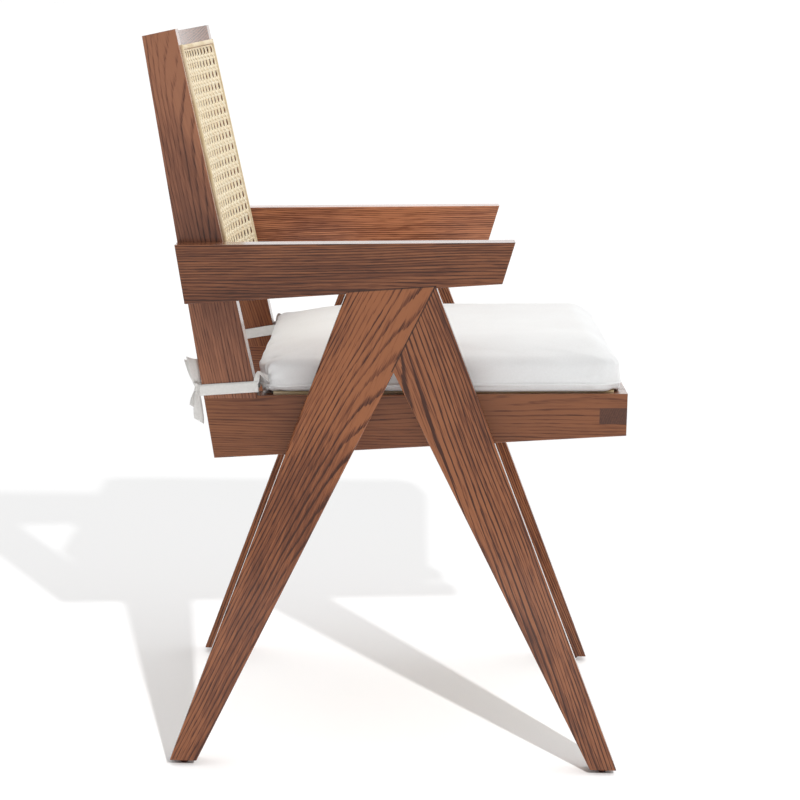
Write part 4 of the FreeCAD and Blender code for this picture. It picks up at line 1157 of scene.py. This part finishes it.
def smooth_line(points, closed=False):
    """Points on a smooth line through the given ones, several for each gap."""
    line = []
    for number in range(len(points) if closed else len(points) - 1):
        before, start, end, after = (neighbour(points, number + ahead, closed) for ahead in (-1, 0, 1, 2))
        for step in range(RIBBON_STEPS):
            share = step / RIBBON_STEPS
            line.append(0.5 * (2 * start + (end - before) * share
                               + (2 * before - 5 * start + 4 * end - after) * share ** 2
                               + (3 * start - before - 3 * end + after) * share ** 3))
    if not closed:
        line.append(points[-1].copy())
    return line


def add_strip(form, knots, closed=False, cup=0.0):
    """Add a strip to a mesh and return its length. Each knot is a place, the direction of the ribbon's width,
    and a share of that width."""
    places = smooth_line([Vector(place) for place, _, _ in knots], closed)
    widths = smooth_line([Vector(across).normalized() * share for _, across, share in knots], closed)
    rows = []
    for number, (place, width) in enumerate(zip(places, widths)):
        ahead = neighbour(places, number + 1, closed)
        out = width.cross(ahead - neighbour(places, number - 1, closed)).normalized()
        row = []
        for column in range(RIBBON_COLUMNS):
            share = column / (RIBBON_COLUMNS - 1) * 2 - 1
            spot = place + width * share * RIBBON_WIDTH / 2 + out * cup * (1 - share ** 2)
            row.append(form.verts.new(spot))
        rows.append(row)
    length = 0.0
    for number in range(len(rows) if closed else len(rows) - 1):
        first, second = rows[number], neighbour(rows, number + 1, closed)
        for column in range(RIBBON_COLUMNS - 1):
            form.faces.new((first[column], first[column + 1], second[column + 1], second[column]))
        length += (neighbour(places, number + 1, closed) - places[number]).length
    return length


def ribbon_piece(name, side, strips, replaced):
    """A ribbon of one or more strips, drawn for the left side and mirrored for the right."""
    form = bmesh.new()
    length = sum(add_strip(form, **strip) for strip in strips)
    for spot in form.verts:
        spot.co.x *= side
    bmesh.ops.recalc_face_normals(form, faces=form.faces)
    mesh = bpy.data.meshes.new(name)
    form.to_mesh(mesh)
    form.free()
    mesh.transform(seat_plane)
    mesh.shade_smooth()
    piece = new_piece(name, mesh, white_ribbon)
    thick = piece.modifiers.new("thickness", "SOLIDIFY")
    thick.thickness = RIBBON_THICKNESS
    thick.offset = 0.0
    settle(piece, "white_ribbon", replaced)
    return piece


# %% [markdown]
# The places below are on the seat's plane: across the chair, backwards from the post's rear corner, and up.
# The band lies against the post's four faces. The bow stands behind the post, its loops upright and its
# tails hanging down.

# %% Tie the ribbons
POST_INNER = 0.1935
POST_OUTER = 0.2285
POST_MIDDLE = (POST_INNER + POST_OUTER) / 2
POST_RUN = 0.0577
REAR_FACE_SLOPE = 0.18
FRONT_FACE_SLOPE = 0.24
BAND_CLEAR = 0.0009
BAND_UP = 0.0063
BAND_SLANT = {"left": (0.003, 0.012), "right": (0.0, 0.0035)}
UPRIGHT = (0, 0, 1)
LEANING = (0, 0.2, 1)
CORNER_TURN = 0.0015
KNOT_PLACE = Vector((POST_MIDDLE, 0.0075, 0.0075))
KNOT_POINTS = 10
KNOT_ACROSS = 0.0062
KNOT_BACK = 0.0042
WRAP_FACING = (0.15, 0.1, 1)
WRAP_WIDTH = 0.8
WRAP_UNEVEN = 0.08
WRAP_WAVES = 3
LOOP_HALF = 0.0033
LOOP_FLARE = 0.12
LOOP_TILT = 0.25
TAIL_WAVE = 4.0
# The direction of a tail's width at its start, and how it turns as the tail falls
TAIL_FACING = Vector((0.25, 1, 0.15))
TAIL_TURN = Vector((-0.5, 0, 0.4))
# From the cushion's corner, over a small twist, to the band's front corner
LEAD_KNOTS = [
    ((0.2165, -0.0705, 0.0115), (0.3, 0.2, 1), 0.8),
    ((0.2215, -0.065, 0.0165), (-0.5, 0.3, 1), 0.55),
    ((0.2265, -0.0597, 0.0205), (-0.9, 0.5, 0.6), 0.5),
    ((0.2298, -0.0577, 0.0145), (0, 0.5, 0.8), 0.65),
    ((0.2302, -0.0545, 0.0068), UPRIGHT, 0.95),
]
# Shares across and up a loop with the ribbon's width there, and shares down a tail with its width
LOOP_SHARES = ((0.0, 0.0, 0.55), (-0.75, 0.3, 0.9), (-1.0, 0.65, 1.0), (-0.6, 0.93, 1.0), (0.0, 1.0, 1.0),
               (0.6, 0.93, 1.0), (1.0, 0.65, 1.0), (0.75, 0.3, 0.9), (0.0, 0.0, 0.55))
TAIL_SHARES = ((0.0, 0.45), (0.2, 0.5), (0.45, 0.75), (0.75, 1.0), (1.0, 1.05))


def slanted(knots, side_name):
    """Raise a ribbon's places, by one height at the post's rear and another at its front."""
    rear, front = BAND_SLANT[side_name]
    raised = []
    for (across, back, up), width, share in knots:
        raised.append(((across, back, up + rear - (front - rear) * back / POST_RUN), width, share))
    return raised


def band_knots():
    """Round the post's foot: three knots at each corner, so that the ribbon turns sharply there."""
    inner, outer = POST_INNER - BAND_CLEAR, POST_OUTER + BAND_CLEAR
    rear = BAND_CLEAR + BAND_UP * REAR_FACE_SLOPE
    front = BAND_UP * FRONT_FACE_SLOPE - POST_RUN - BAND_CLEAR
    corners = [(inner, rear, 1, -1), (inner, front, 1, 1), (outer, front, -1, 1), (outer, rear, -1, -1)]
    knots = []
    for number, (across, back, toward_across, toward_back) in enumerate(corners):
        turn_across, turn_back = toward_across * CORNER_TURN, toward_back * CORNER_TURN
        along_side = ((across, back + turn_back * 2, BAND_UP), UPRIGHT, 1.0)
        along_end = ((across + turn_across * 2, back, BAND_UP), LEANING, 1.0)
        turn = ((across + turn_across / 3, back + turn_back / 3, BAND_UP), LEANING, 1.0)
        knots += [along_end, turn, along_side] if number % 2 == 0 else [along_side, turn, along_end]
    return knots


def loop_knots(lean_back, spread, tall):
    """A drawn-out loop that starts and ends in the knot."""
    knots = []
    for across, up, width in LOOP_SHARES:
        place = KNOT_PLACE + Vector((spread + across * LOOP_HALF, lean_back * up, tall * up))
        knots.append((place, (LOOP_FLARE * across, 1, LOOP_TILT), width))
    return knots


def tail_knots(spread, back, length, sway):
    """A tail that hangs from the knot with a small wave, and turns as it falls."""
    knots = []
    for down, width in TAIL_SHARES:
        place = KNOT_PLACE + Vector((spread + sway * math.sin(down * TAIL_WAVE), back * down, -length * down))
        knots.append((place, TAIL_FACING + TAIL_TURN * down, width))
    return knots


def wrap_knots():
    """The turn of ribbon that closes the bow, wound round its middle."""
    knots = []
    for number in range(KNOT_POINTS):
        angle = TURN * number / KNOT_POINTS
        place = KNOT_PLACE + Vector((math.cos(angle) * KNOT_ACROSS, math.sin(angle) * KNOT_BACK, 0.0))
        knots.append((place, WRAP_FACING, WRAP_WIDTH + WRAP_UNEVEN * math.sin(WRAP_WAVES * angle)))
    return knots


LOOPS = [{"knots": loop_knots(0.0055, 0.0032, 0.0315), "cup": 0.0008},
         {"knots": loop_knots(0.0085, -0.0036, 0.0275), "cup": 0.0008}]
TAILS = [{"knots": tail_knots(0.0036, -0.001, 0.0375, 0.0012), "cup": 0.0006},
         {"knots": tail_knots(-0.003, 0.004, 0.0235, -0.001), "cup": 0.0006}]
WRAP = [{"knots": wrap_knots(), "closed": True, "cup": 0.0012}]
for side_name, side in (("left", 1), ("right", -1)):
    post = side_name + "_back_post"
    band = [{"knots": slanted(band_knots(), side_name), "closed": True},
            {"knots": slanted(LEAD_KNOTS, side_name), "cup": 0.0012}]
    for part, strips, held, rests_on in (("band", band, "stretched", [post, cushion]),
                                         ("loops", LOOPS, "folded", [post]),
                                         ("tails", TAILS, "hung", [post]),
                                         ("knot", WRAP, "gathered", [post])):
        ribbon_piece(f"{side_name}_ribbon_{part}", side, strips, f"{side_name}_tie_{part}")

# %% [markdown]
# The small parts hardly show, but each gets its own finish: glides of dark brown plastic, dowels and tenons
# of beech, and screws and nails of bare steel. The beech reuses the grain tree with pale colours.

# %% Glides, dowels and screws
BEECH = {"Light": paint((226, 196, 158)), "Middle": paint((210, 176, 136)), "Dark": paint((176, 138, 100))}
BEECH_PITH = (0.03, 0.01, 1.0)
BEECH_PARTS = {"leg_dowels": (0, 1, 0), "arm_dowels": (0, 0, 1), "post_dowels": (1, 0, 0),
               "post_tenons": (0, 0, 1)}
SPECKLES = (600.0, 3.0)
SPECKLE_ROUGHNESS = 0.15
SPECKLE_RELIEF = (0.15, 0.0002)


def speckled_finish(name, first, second, roughness, metallic):
    """A smooth surface with fine specks of a second shade, a little rougher there."""
    finish, tree, shader, place = new_finish(name)
    speckle = cloud(tree, place, *SPECKLES)
    colour = mix_colours(tree, between(tree, speckle, *NOISE_MOST), paint(first), paint(second))
    rough = between(tree, speckle, *NOISE_ALL, roughness, roughness + SPECKLE_ROUGHNESS)
    finish_surface(tree, shader, colour, rough, (speckle, *SPECKLE_RELIEF), {"Metallic": metallic})
    return finish


for node, along in BEECH_PARTS.items():
    dress(node, wood_finish("beech_" + node, along, (0, -1, 0), middle_of(node), BEECH_PITH, BEECH))
dress("foot_glides", speckled_finish("brown_plastic", (84, 42, 34), (70, 36, 30), 0.45, 0.0))
bare_steel = speckled_finish("bare_steel", (176, 174, 170), (150, 148, 146), 0.3, 1.0)
for node in ("glide_nails", "leg_screws"):
    dress(node, bare_steel)
print("finishes in all:", len(bpy.data.materials))
